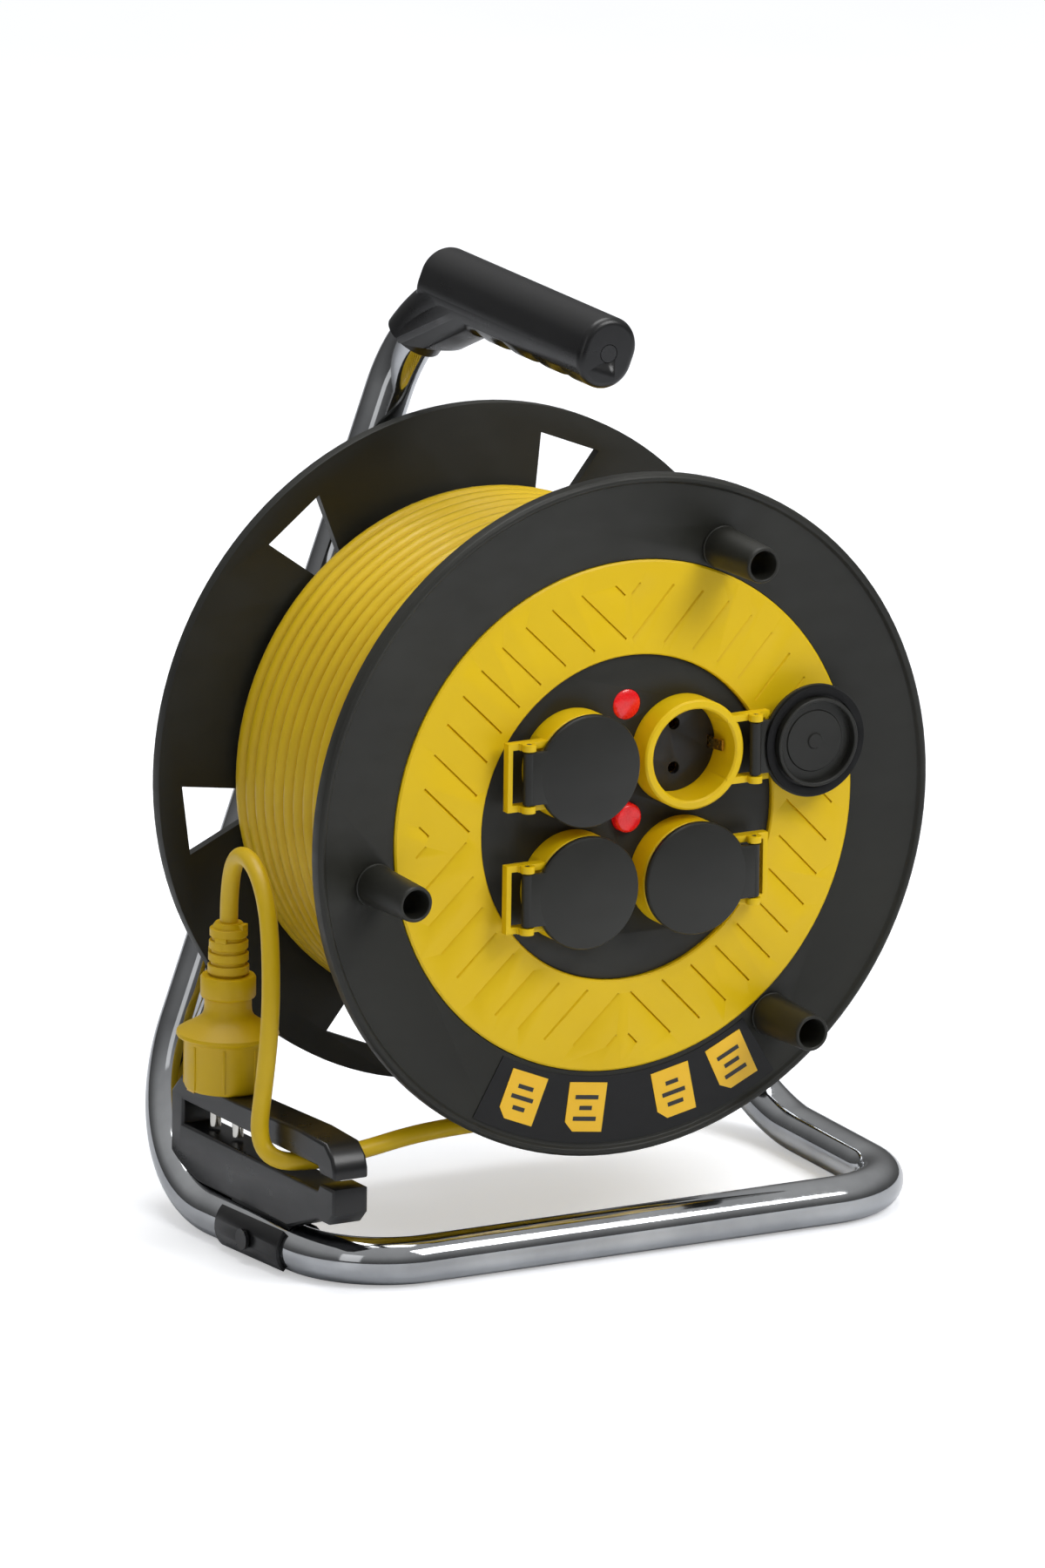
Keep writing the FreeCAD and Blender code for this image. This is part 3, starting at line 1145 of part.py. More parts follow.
def build_pegs():
    pegs = []
    for step in range(3):
        angle = "(peg_turn + %d) * 1deg" % (120 * step)
        x = "peg_place * sin(%s)" % angle
        z = "peg_place * cos(%s)" % angle
        tag = "peg_%d" % (step + 1)
        shell = [
            taper(tag + "_shell", "peg_tip", "peg_root", "peg_long + rim_step", x, "-peg_long", z),
            rod(tag + "_collar", "peg_collar", "peg_collar_thick", x, "rim_step - peg_collar_thick", z),
            rod(tag + "_stub", "peg_stub", "flange_thick - rim_step - 0.5", x, "rim_step", z),
        ]
        bore = rod(tag + "_bore", "peg_bore", "peg_long + flange_thick + 4", x, "-peg_long - 2", z)
        pegs.append(cut(tag, fuse(tag + "_solid", shell), [bore]))
    node("finger_pegs", group("finger_pegs", pegs))
    flange = pieces["front_flange"]
    holes = []
    for step in range(3):
        angle = "(peg_turn + %d) * 1deg" % (120 * step)
        holes.append(rod("peg_seat_%d" % step, "peg_stub + fit_gap", "flange_thick + 2",
                         "peg_place * sin(%s)" % angle, "-1", "peg_place * cos(%s)" % angle))
    flange.Label = "flange_blank"
    node("front_flange", cut("front_flange_drilled", flange, holes))


def sector(inner, outer, start, sweep, depth, thick):
    """A flat ring sector; angles run clockwise from the top as seen from the front."""
    centre = spot(0, depth, 0)
    disc = Part.makeCylinder(outer, thick, centre, Vector(0, 1, 0), sweep)
    disc = disc.cut(Part.makeCylinder(inner, thick, centre, Vector(0, 1, 0)))
    middle = disc.Solids[0].CenterOfMass - centre
    now = math.degrees(math.atan2(middle.x, middle.z))
    disc.rotate(centre, Vector(0, 1, 0), start + sweep / 2 - now)
    return disc


def build_label():
    depth = size("rim_step") - size("label_thick")
    start = size("label_from")
    band = sector(size("label_inner"), size("label_outer"), start, size("label_sweep"), depth, size("label_thick"))
    node("label_band", shaped("label_band", band))
    chips = []
    for place_angle in (154.5, 168.0, 187.5, 202.0):
        half = size("chip_wide") / 2
        high = size("chip_tall") / 2
        corners = [(-half, -high), (half, -high), (half, high - 4), (half - 4, high), (-half, high)]
        centre = size("chip_place")
        chip_depth = depth - size("chip_thick")
        ring = [spot(x, chip_depth, z + centre) for x, z in corners + corners[:1]]
        chip = Part.Face(Part.makePolygon(ring)).extrude(Vector(0, size("chip_thick"), 0))
        chip.rotate(spot(0, 0, 0), Vector(0, 1, 0), place_angle)
        chips.append(chip)
    node("label_chips", shaped("label_chips", Part.makeCompound(chips)))


# The cable


def biarc(start, start_way, end, end_way):
    """Two arcs that leave and reach two points along the given directions."""
    between = end - start
    ways = start_way + end_way
    straightness = 2 * (1 - start_way.dot(end_way))
    lean = 2 * between.dot(ways)
    reach = (-lean + math.sqrt(lean * lean + 4 * straightness * between.dot(between))) / (2 * straightness)
    near = start + start_way * reach
    far = end - end_way * reach
    joint = (near + far) * 0.5
    return [arc_by_corner(start, near, joint), arc_by_corner(joint, far, end)]


def arc_by_corner(start, corner, end):
    """The arc tangent to both legs of an even-legged corner."""
    middle = (start + end) * 0.5
    half_chord = (end - start).Length / 2
    rise = (corner - middle).Length
    half_turn = math.atan2(rise, half_chord)
    bulge = half_chord * math.tan(half_turn / 2)
    return Part.Arc(start, middle + (corner - middle).normalize() * bulge, end).toShape()


def helix_path(radius, start_depth, end_depth, turns, start_turn, lead):
    """A helix about the drum's axis on quarter-turn biarcs, with straight ends."""
    steps = int(round(turns * 4))
    climb = (end_depth - start_depth) / (turns * 2 * math.pi)

    def at(angle):
        return spot(radius * math.cos(angle), start_depth + climb * (angle - start_turn), radius * math.sin(angle))

    def way(angle):
        return Vector(-radius * math.sin(angle), climb, radius * math.cos(angle)).normalize()

    edges = []
    for step in range(steps):
        one = start_turn + step * math.pi / 2
        two = one + math.pi / 2
        edges += biarc(at(one), way(one), at(two), way(two))
    if lead > 0:
        first = start_turn
        last = start_turn + steps * math.pi / 2
        edges.insert(0, Part.LineSegment(at(first) - way(first) * lead, at(first)).toShape())
        edges.append(Part.LineSegment(at(last), at(last) + way(last) * lead).toShape())
    return Part.Wire(edges)


def least_gap(path, thick, spacing):
    """The smallest gap of a wound tube to itself, measured on points of its path."""
    points = path.discretize(Distance=spacing)
    skip = int(3 * thick / spacing) + 2
    least = 1e9
    for index in range(0, len(points), 3):
        for other in range(index + skip, len(points), 2):
            least = min(least, (points[index] - points[other]).Length - thick)
    return least


# The free cord, from the plug's strain relief over the guide and under the
# drum to its last turn in the free lane beside the front flange: x, depth and
# height from the drum's axis and front rim.
CORD_POINTS = [
    (-135.0, 93.5, -46.0),
    (-135.0, 93.5, -31.0),
    (-137.0, 82.5, -18.0),
    (-140.0, 62.5, -18.5),
    (-142.5, 47.5, -32.0),
    (-145.0, 39.5, -53.0),
    (-147.5, 35.0, -80.0),
    (-149.0, 37.5, -107.0),
    (-150.0, 40.5, -129.0),
    (-146.0, 34.0, -138.0),
    (-132.0, 24.5, -137.4),
    (-111.0, 21.5, -134.5),
    (-84.0, 23.5, -131.0),
    (-51.0, 23.0, -130.0),
    (-18.0, 20.0, -128.5),
    (13.0, 14.5, -124.5),
    (41.0, 10.7, -112.0),
]
LANE_JOIN = -40.0
LANE_STEPS = 10
LANE_LEAD = 30.0


def cord_points():
    """The hand-set route and then the corners of the turn in the lane."""
    points = [spot(*point) for point in CORD_POINTS]
    lane = size("flange_thick") + size("lay_gap") + size("cable_diameter") / 2
    radius = size("lay_radius")
    join = math.radians(LANE_JOIN)
    tangent = Vector(-math.sin(join), 0, math.cos(join))
    touch = spot(radius * math.cos(join), lane, radius * math.sin(join))
    points.append(touch - tangent * LANE_LEAD)
    reach = radius / math.cos(math.radians(15))
    for step in range(LANE_STEPS):
        angle = math.radians(LANE_JOIN + 15 + 30 * step)
        points.append(spot(reach * math.cos(angle), lane, reach * math.sin(angle)))
    last = math.radians(LANE_JOIN + 30 * LANE_STEPS)
    points.append(spot(radius * math.cos(last), lane, radius * math.sin(last)))
    return points


def build_cable():
    thick = size("cable_diameter")
    gap = size("lay_gap")
    wind_front = size("flange_thick") + gap + thick + gap
    first = wind_front + thick / 2
    last = first + size("turn_count") * size("turn_pitch")
    radius = size("lay_radius")
    path = helix_path(radius, first, last, size("turn_count"), math.radians(-60), thick)
    print("winding: least gap %.2f mm, length %.0f mm" % (least_gap(path, thick, 2.0), path.Length))
    winding = swept(path, thick / 2)
    print("winding volume %.4f of section times length" % (winding.Volume / (math.pi * thick ** 2 / 4 * path.Length)))
    node("winding", shaped("winding", winding))
    core_outer = "lay_radius - cable_diameter / 2 - lay_gap"
    node("winding_core", tube("winding_core", core_outer, "hub_radius + fit_gap", "winding_room - 2 * lay_gap", "flange_thick + lay_gap"))

    points = cord_points()
    radii = cord_radii(points)
    print("cord radii", " ".join("%.0f" % radius for radius in radii))
    path = bent_path(points, radii)
    cord = swept(path, thick / 2)
    print("cord length %.0f mm, volume %.4f" % (path.Length, cord.Volume / (math.pi * thick ** 2 / 4 * path.Length)))
    node("free_cord", shaped("free_cord", cord))


def build_plug():
    x = "plug_x"
    depth = "plug_depth"
    low = "arm_high_rear"
    body = rod("plug_lower", "plug_radius", "plug_body_long", x, depth, low, UPRIGHT)
    ring = rod("plug_ring", "plug_ring_radius", "plug_ring_long", x, depth, "%s + plug_body_long" % low, UPRIGHT)
    neck_low = "%s + plug_body_long + plug_ring_long" % low
    neck = taper("plug_neck", "plug_neck_low", "plug_neck_high", "plug_neck_long", x, depth, neck_low, UPRIGHT)
    holes = []
    prongs = []
    strips = []
    for side in (-1, 1):
        at = "%s + %d * prong_place" % (depth, side)
        prongs.append(rod("prong_%d" % (side + 1), "prong_radius", "prong_long + prong_in", x, at, "%s - prong_long" % low, UPRIGHT))
        holes.append(rod("prong_hole_%d" % (side + 1), "prong_radius + fit_gap", "prong_in", x, at, low, UPRIGHT))
        strip_x = "%s + strip_place" % x if side > 0 else "%s - strip_place - strip_thick" % x
        holes.append(block("strip_slot_%d" % (side + 1), "strip_thick + 2 * fit_gap", "strip_wide + 2 * fit_gap", "strip_long + fit_gap",
                           strip_x + " - fit_gap", "%s - strip_wide / 2 - fit_gap" % depth, low))
        strips.append(block("strip_%d" % (side + 1), "strip_thick", "strip_wide", "strip_long", strip_x, "%s - strip_wide / 2" % depth, low))
    node("plug_body", cut("plug_body", fuse("plug_whole", [body, ring, neck]), holes))
    node("plug_prongs", group("plug_prongs", prongs))
    node("plug_earth_strips", group("plug_earth_strips", strips))
    relief_low = "%s + plug_neck_long" % neck_low
    relief = taper("relief_cone", "relief_radius", "relief_tip", "relief_long", x, depth, relief_low, UPRIGHT)
    node("plug_strain_relief", relief)


def check_and_write():
    doc.recompute()
    for item in doc.Objects:
        wrong = [state for state in item.State if state in ("Invalid", "Error")]
        if wrong:
            raise RuntimeError("%s: %s" % (item.Name, wrong))
    os.makedirs("parts", exist_ok=True)
    for name, thing in pieces.items():
        shape = Part.getShape(thing)
        if shape.isNull() or not shape.isValid() or not shape.Solids:
            raise RuntimeError("%s has no valid shape" % name)
        shape.exportStep("parts/%s.step" % name)
    print("%d sub-parts written" % len(pieces))


fill_sheet()
build_stand()
build_grip()
build_guide()
build_drum()
build_axle()
build_trim()
build_plate()
build_outlets()
build_controls()
build_pegs()
build_label()
build_cable()
build_plug()
check_and_write()
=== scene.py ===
"""Dresses the cable reel: finishes, smooth shells, cable, plug, studio and camera."""

import json
import logging
import math
from collections.abc import Sequence
from dataclasses import dataclass, field
from enum import Enum

import bmesh
import bpy
from mathutils import Matrix, Vector

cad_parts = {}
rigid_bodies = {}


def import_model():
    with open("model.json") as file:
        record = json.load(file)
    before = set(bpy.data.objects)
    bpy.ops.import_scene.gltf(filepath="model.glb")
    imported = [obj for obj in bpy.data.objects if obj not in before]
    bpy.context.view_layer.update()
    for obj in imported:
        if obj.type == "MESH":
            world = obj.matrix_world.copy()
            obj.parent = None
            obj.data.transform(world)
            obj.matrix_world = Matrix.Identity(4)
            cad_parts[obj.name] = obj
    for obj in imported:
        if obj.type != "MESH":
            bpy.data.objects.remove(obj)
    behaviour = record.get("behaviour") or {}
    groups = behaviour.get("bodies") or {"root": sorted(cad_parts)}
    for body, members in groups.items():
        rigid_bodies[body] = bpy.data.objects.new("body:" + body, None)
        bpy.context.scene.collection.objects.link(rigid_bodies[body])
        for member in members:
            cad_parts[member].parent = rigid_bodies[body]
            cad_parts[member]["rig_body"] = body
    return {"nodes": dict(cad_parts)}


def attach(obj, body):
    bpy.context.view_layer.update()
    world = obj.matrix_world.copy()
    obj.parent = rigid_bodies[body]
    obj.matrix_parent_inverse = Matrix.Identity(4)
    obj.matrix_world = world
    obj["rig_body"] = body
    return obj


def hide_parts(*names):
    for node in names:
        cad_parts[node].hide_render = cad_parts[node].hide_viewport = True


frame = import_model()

log = logging.getLogger("reel")

MM = 0.001
AXIS_HEIGHT = 185.0
FACE_PLACE = -70.0
FLAT_DEGREES = 0.6
STEEP_DEGREES = 40.0
Point = tuple[float, float, float]
Profile = Sequence[tuple[float, float]]


def spot(x: float, depth: float, z: float) -> Vector:
    """A point in metres, from millimetres about the drum's axis and front rim.

    Args:
        x: To the right of the axis.
        depth: Behind the front flange's rim.
        z: Above the axis.

    Returns:
        The point in the row frame.
    """
    return Vector((x, FACE_PLACE + depth, AXIS_HEIGHT + z)) * MM


def linear(code: str) -> tuple[float, float, float, float]:
    """A shader colour from a web colour.

    Args:
        code: Six hex digits.

    Returns:
        Linear red, green and blue, with full alpha.
    """
    parts = [int(code[i : i + 2], 16) / 255 for i in (0, 2, 4)]
    red, green, blue = (c / 12.92 if c <= 0.04045 else ((c + 0.055) / 1.055) ** 2.4 for c in parts)
    return red, green, blue, 1.0


class NodeSheet:
    """A material's nodes, with its principled shader ready to be wired."""

    def __init__(self, name: str) -> None:
        """Starts an empty material that holds one principled shader."""
        self.material = bpy.data.materials.new(name)
        self.material.use_nodes = True
        self.tree = self.material.node_tree
        self.tree.nodes.clear()
        self.shader = self.add("ShaderNodeBsdfPrincipled")
        out = self.add("ShaderNodeOutputMaterial")
        self.join(self.shader.outputs["BSDF"], out.inputs["Surface"])
        self.coords = self.add("ShaderNodeTexCoord").outputs["Object"]

    def add(self, kind: str) -> bpy.types.Node:
        """A new node of a kind."""
        return self.tree.nodes.new(kind)

    def join(self, start: bpy.types.NodeSocket, end: bpy.types.NodeSocket) -> None:
        """Links two sockets."""
        self.tree.links.new(start, end)

    def set(self, **values: float | tuple[float, ...]) -> None:
        """Sets sockets of the shader by name, with underscores for spaces."""
        for key, value in values.items():
            self.shader.inputs[key.replace("_", " ")].default_value = value

    def stretched(self, scale: Point) -> bpy.types.NodeSocket:
        """Object coordinates stretched by a scale for each axis."""
        mapping = self.add("ShaderNodeMapping")
        mapping.inputs["Scale"].default_value = scale
        self.join(self.coords, mapping.inputs["Vector"])
        return mapping.outputs["Vector"]

    def noise(
        self, scale: float, detail: float = 3.0, vector: bpy.types.NodeSocket | None = None
    ) -> bpy.types.NodeSocket:
        """A noise pattern of the given scale per metre."""
        node = self.add("ShaderNodeTexNoise")
        node.inputs["Scale"].default_value = scale
        node.inputs["Detail"].default_value = detail
        self.join(vector or self.coords, node.inputs["Vector"])
        return node.outputs["Fac"]

    def ranged(self, source: bpy.types.NodeSocket, low: float, high: float) -> bpy.types.NodeSocket:
        """The source spread between two values."""
        node = self.add("ShaderNodeMapRange")
        node.inputs["From Min"].default_value = 0.3
        node.inputs["From Max"].default_value = 0.7
        node.inputs["To Min"].default_value = low
        node.inputs["To Max"].default_value = high
        self.join(source, node.inputs["Value"])
        return node.outputs["Result"]

    def tinted(self, source: bpy.types.NodeSocket, one: str, two: str) -> None:
        """Colours the shader between two tones by a pattern."""
        ramp = self.add("ShaderNodeValToRGB")
        ramp.color_ramp.elements[0].position = 0.3
        ramp.color_ramp.elements[1].position = 0.72
        ramp.color_ramp.elements[0].color = linear(one)
        ramp.color_ramp.elements[1].color = linear(two)
        self.join(source, ramp.inputs["Fac"])
        self.join(ramp.outputs["Color"], self.shader.inputs["Base Color"])

    def bumped(self, layers: Sequence[tuple[bpy.types.NodeSocket, float, float]]) -> None:
        """Stacks bumps on the shader's normal.

        Args:
            layers: For each bump its height pattern, strength and distance in metres.
        """
        before = None
        for height, strength, distance in layers:
            bump = self.add("ShaderNodeBump")
            bump.inputs["Strength"].default_value = strength
            bump.inputs["Distance"].default_value = distance
            self.join(height, bump.inputs["Height"])
            if before is not None:
                self.join(before, bump.inputs["Normal"])
            before = bump.outputs["Normal"]
        self.join(before, self.shader.inputs["Normal"])


@dataclass(frozen=True)
class MouldedPlastic:
    """Injection-moulded plastic with a fine spark-eroded grain and faint flow marks."""

    name: str
    dark: str
    light: str
    roughness: tuple[float, float] = (0.38, 0.52)
    grain_scale: float = 2600.0
    grain_depth: float = 0.00004
    grain_strength: float = 0.35
    specular: float = 0.5

    def make(self) -> bpy.types.Material:
        """The finished material."""
        sheet = NodeSheet(self.name)
        sheet.set(Specular_IOR_Level=self.specular)
        cloud = sheet.noise(14.0, 4.0)
        sheet.tinted(cloud, self.dark, self.light)
        wipe = sheet.noise(60.0, 5.0, sheet.stretched((1.0, 1.0, 2.4)))
        sheet.join(sheet.ranged(wipe, *self.roughness), sheet.shader.inputs["Roughness"])
        grain = sheet.noise(self.grain_scale, 2.0)
        sheet.bumped([(grain, self.grain_strength, self.grain_depth), (cloud, 0.08, 0.0004)])
        return sheet.material


@dataclass(frozen=True)
class PlatedSteel:
    """Plated steel: bright chrome, satin zinc or nickel, by its roughness."""

    name: str
    dark: str
    light: str
    roughness: tuple[float, float]
    brush: Point = (1.0, 1.0, 1.0)
    wave: float = 0.00003

    def make(self) -> bpy.types.Material:
        """The finished material."""
        sheet = NodeSheet(self.name)
        sheet.set(Metallic=1.0)
        smear = sheet.noise(38.0, 5.0, sheet.stretched(self.brush))
        sheet.tinted(smear, self.dark, self.light)
        fine = sheet.noise(420.0, 4.0, sheet.stretched(self.brush))
        sheet.join(sheet.ranged(fine, *self.roughness), sheet.shader.inputs["Roughness"])
        sheet.bumped([(smear, 0.10, self.wave), (fine, 0.05, 0.00001)])
        return sheet.material


@dataclass(frozen=True)
class CableSheath:
    """Soft cable sheath with faint extrusion marks and a waxy sheen."""

    name: str
    dark: str
    light: str

    def make(self) -> bpy.types.Material:
        """The finished material."""
        sheet = NodeSheet(self.name)
        sheet.set(Specular_IOR_Level=0.4, Sheen_Weight=0.05, Sheen_Roughness=0.4)
        cloud = sheet.noise(24.0, 4.0)
        sheet.tinted(cloud, self.dark, self.light)
        scuff = sheet.noise(170.0, 4.0)
        sheet.join(sheet.ranged(scuff, 0.36, 0.52), sheet.shader.inputs["Roughness"])
        sheet.bumped([(scuff, 0.12, 0.0001), (sheet.noise(1900.0), 0.2, 0.00003)])
        return sheet.material


@dataclass(frozen=True)
class LampPlastic:
    """Clear red plastic with a painted glow: a little emission that stands in for light caught in its depth, on the
    lens and the reset button alike.
    """

    name: str
    dark: str
    light: str
    painted_glow: float = 0.12

    def make(self) -> bpy.types.Material:
        """The finished material."""
        sheet = NodeSheet(self.name)
        sheet.set(Coat_Weight=0.35, Coat_Roughness=0.08)
        # The emission is a painted glow, not a lit lamp.
        sheet.set(Emission_Color=linear(self.light), Emission_Strength=self.painted_glow)
        sheet.tinted(sheet.noise(160.0, 2.0), self.dark, self.light)
        facets = sheet.add("ShaderNodeTexVoronoi")
        facets.inputs["Scale"].default_value = 900.0
        sheet.join(sheet.coords, facets.inputs["Vector"])
        sheet.join(sheet.ranged(facets.outputs["Distance"], 0.22, 0.3), sheet.shader.inputs["Roughness"])
        sheet.bumped([(facets.outputs["Distance"], 0.18, 0.0002)])
        return sheet.material


@dataclass(frozen=True)
class BulbGlass:
    """Clear thin glass."""

    name: str
    tint: str

    def make(self) -> bpy.types.Material:
        """The finished material."""
        sheet = NodeSheet(self.name)
        sheet.set(Base_Color=linear(self.tint), Transmission_Weight=0.9, Roughness=0.05, IOR=1.45)
        sheet.bumped([(sheet.noise(120.0), 0.05, 0.0001)])
        return sheet.material


class Finish(Enum):
    """Every finish of the reel."""

    CHROME = PlatedSteel("chrome_plate", "a3a5a8", "bcbec0", (0.05, 0.11))
    ZINC = PlatedSteel("zinc_plate", "9fa3a6", "c6c9cb", (0.22, 0.36), (1.0, 6.0, 1.0))
    NICKEL = PlatedSteel("nickel_plate", "b4b2ab", "d0cec8", (0.12, 0.2))
    BRASS = PlatedSteel("spring_brass", "b68a3c", "dcb65e", (0.2, 0.32), (5.0, 1.0, 1.0))
    BLACK_PAINT = MouldedPlastic("black_paint", "121213", "161617", (0.26, 0.32), 1400.0, 0.00002, 0.15)
    BLACK = MouldedPlastic("black_moulding", "1d1d19", "252520", (0.42, 0.54), specular=0.35)
    BLACK_SMOOTH = MouldedPlastic(
        "black_smooth_moulding", "1d1d1a", "242420", (0.36, 0.46), 3200.0, 0.00003, 0.25, 0.35
    )
    GRIP_BLACK = MouldedPlastic("grip_moulding", "0d0d0e", "141415", (0.26, 0.36), 2000.0, 0.00005, 0.3, 0.45)
    YELLOW = MouldedPlastic("yellow_moulding", "d8b300", "e0bc04", (0.38, 0.5), specular=0.35)
    YELLOW_PLUG = MouldedPlastic(
        "yellow_plug_moulding", "c9a502", "d2ae06", (0.38, 0.5), 1500.0, 0.00004, 0.25, 0.35
    )
    NYLON = MouldedPlastic("plain_nylon", "cfcec6", "dad9d2", (0.45, 0.6))
    INSERT = MouldedPlastic("insert_moulding", "131314", "1b1b1d", (0.4, 0.55))
    SEAL = MouldedPlastic("soft_seal", "0e0e0f", "151516", (0.55, 0.7), 1800.0, 0.00006, 0.5, 0.2)
    LABEL = MouldedPlastic("smooth_film", "0b0b0c", "101011", (0.34, 0.42), 600.0, 0.00001, 0.1, 0.3)
    CHIP = MouldedPlastic("label_patch", "e8b412", "f0be1c", (0.3, 0.38), 600.0, 0.00001, 0.1)
    MARK = MouldedPlastic("label_mark", "19191a", "202021", (0.3, 0.38), 600.0, 0.00001, 0.1)
    SHEATH = CableSheath("cable_sheath", "cba806", "d6b30c")
    # The red plastic carries a painted glow of 0.2; it dresses the lamp lens and the reset button.
    RED = LampPlastic("lamp_plastic", "c4060c", "e60e16", 0.2)
    GLASS = BulbGlass("bulb_glass", "f2f0ea")

    def material(self) -> bpy.types.Material:
        """The finish's material, made once."""
        return bpy.data.materials.get(self.value.name) or self.value.make()


class Turning(Enum):
    """The axis that a turned shape is spun about."""

    ALONG_Y = (Vector((1, 0, 0)), Vector((0, 1, 0)))
    UPRIGHT = (Vector((1, 0, 0)), Vector((0, 0, 1)))


def finish_piece(
    name: str,
    shape: bmesh.types.BMesh,
    finish: Finish,
    body: str,
    nodes: Sequence[str] = (),
    sharp: float = 32.0,
) -> bpy.types.Object:
    """Makes a shape a piece of the reel: shaded, coloured and riding on its body.

    Args:
        name: The piece's name.
        shape: Its finished mesh, in place; it is freed.
        finish: Its finish.
        body: The CAD body that carries it.
        nodes: CAD nodes that it stands for.
        sharp: Edges steeper than this many degrees stay sharp.

    Returns:
        The piece's object.
    """
    mesh = bpy.data.meshes.new(name)
    shape.normal_update()
    shape.to_mesh(mesh)
    shape.free()
    for polygon in mesh.polygons:
        polygon.use_smooth = True
    mesh.set_sharp_from_angle(angle=math.radians(sharp))
    piece = bpy.data.objects.new(name, mesh)
    bpy.context.scene.collection.objects.link(piece)
    mesh.materials.append(finish.material())
    if nodes:
        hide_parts(*nodes)
    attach(piece, body)
    log.info("%s rides on %s", name, body)
    return piece


def lathe(shape: bmesh.types.BMesh, profile: Profile, centre: Vector, turning: Turning, steps: int = 64) -> None:
    """Adds a turned solid to a shape.

    Args:
        shape: The mesh that gets it.
        profile: Radius and place along the axis, in millimetres, from axis to axis.
        centre: The axis's zero point, in metres.
        turning: Which way the axis points.
        steps: Faces round the axis.
    """
    radial, along = turning.value
    verts = [shape.verts.new(centre + radial * (r * MM) + along * (h * MM)) for r, h in profile]
    edges = [shape.edges.new(pair) for pair in zip(verts, verts[1:])]
    made = bmesh.ops.spin(
        shape, geom=verts + edges, cent=centre, axis=along, dvec=(0, 0, 0), angle=math.tau, steps=steps, use_merge=True
    )
    touched = {item for item in made["geom_last"] if isinstance(item, bmesh.types.BMVert)}
    island = grown(set(verts) | touched)
    bmesh.ops.remove_doubles(shape, verts=list(island), dist=1e-6)
    faces = {f for v in island if v.is_valid for f in v.link_faces}
    bmesh.ops.recalc_face_normals(shape, faces=list(faces))


def grown(seeds: set[bmesh.types.BMVert]) -> set[bmesh.types.BMVert]:
    """Every vertex joined to the seeds by edges."""
    found = set(seeds)
    queue = list(seeds)
    while queue:
        for edge in queue.pop().link_edges:
            for vert in edge.verts:
                if vert not in found:
                    found.add(vert)
                    queue.append(vert)
    return found


def bar(shape: bmesh.types.BMesh, low: Vector, high: Vector, bevel: float = 0.3) -> list[bmesh.types.BMVert]:
    """Adds a box with softened edges between two corners, and gives its vertices."""
    size = high - low
    middle = (low + high) / 2
    matrix = Matrix.Translation(middle) @ Matrix.Diagonal((*size, 1.0))
    made = bmesh.ops.create_cube(shape, size=1.0, matrix=matrix)["verts"]
    if bevel <= 0:
        return made
    edges = list({e for v in made for e in v.link_edges})
    result = bmesh.ops.bevel(
        shape, geom=edges, offset=bevel * MM, segments=2, profile=0.5, affect="EDGES", material=-1, clamp_overlap=True
    )
    return list({v for f in result["faces"] for v in f.verts} | {v for v in made if v.is_valid})


def shell_of(node: str, bevel: float = 0.0) -> bmesh.types.BMesh:
    """A merged copy of a CAD node's mesh, with its edges softened.

    Args:
        node: The CAD node.
        bevel: Width of the softened edges, in millimetres.

    Returns:
        The copy as a bmesh.
    """
    shape = bmesh.new()
    shape.from_mesh(frame["nodes"][node].data)
    bmesh.ops.remove_doubles(shape, verts=shape.verts, dist=2e-6)
    bmesh.ops.dissolve_limit(
        shape, angle_limit=math.radians(FLAT_DEGREES), verts=shape.verts, edges=shape.edges, delimit={"NORMAL"}
    )
    if bevel > 0:
        steep = [
            e for e in shape.edges if len(e.link_faces) == 2 and e.calc_face_angle(0.0) > math.radians(STEEP_DEGREES)
        ]
        bmesh.ops.bevel(
            shape, geom=steep, offset=bevel * MM, segments=2, profile=0.5, affect="EDGES", material=-1,
            clamp_overlap=True, loop_slide=True,
        )
    return shape


@dataclass
class DressedShell:
    """A CAD node that keeps its shape and gets merged, shaded faces and soft edges."""

    node: str
    finish: Finish
    slot: str
    bevel: float = 0.0
    sharp: float = 32.0

    def build(self) -> bpy.types.Object:
        """Makes the shell on its node's own body."""
        body = frame["nodes"][self.node]["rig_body"]
        shape = shell_of(self.node, self.bevel)
        return finish_piece(self.node + "_shell", shape, self.finish, body, [self.node], self.sharp)


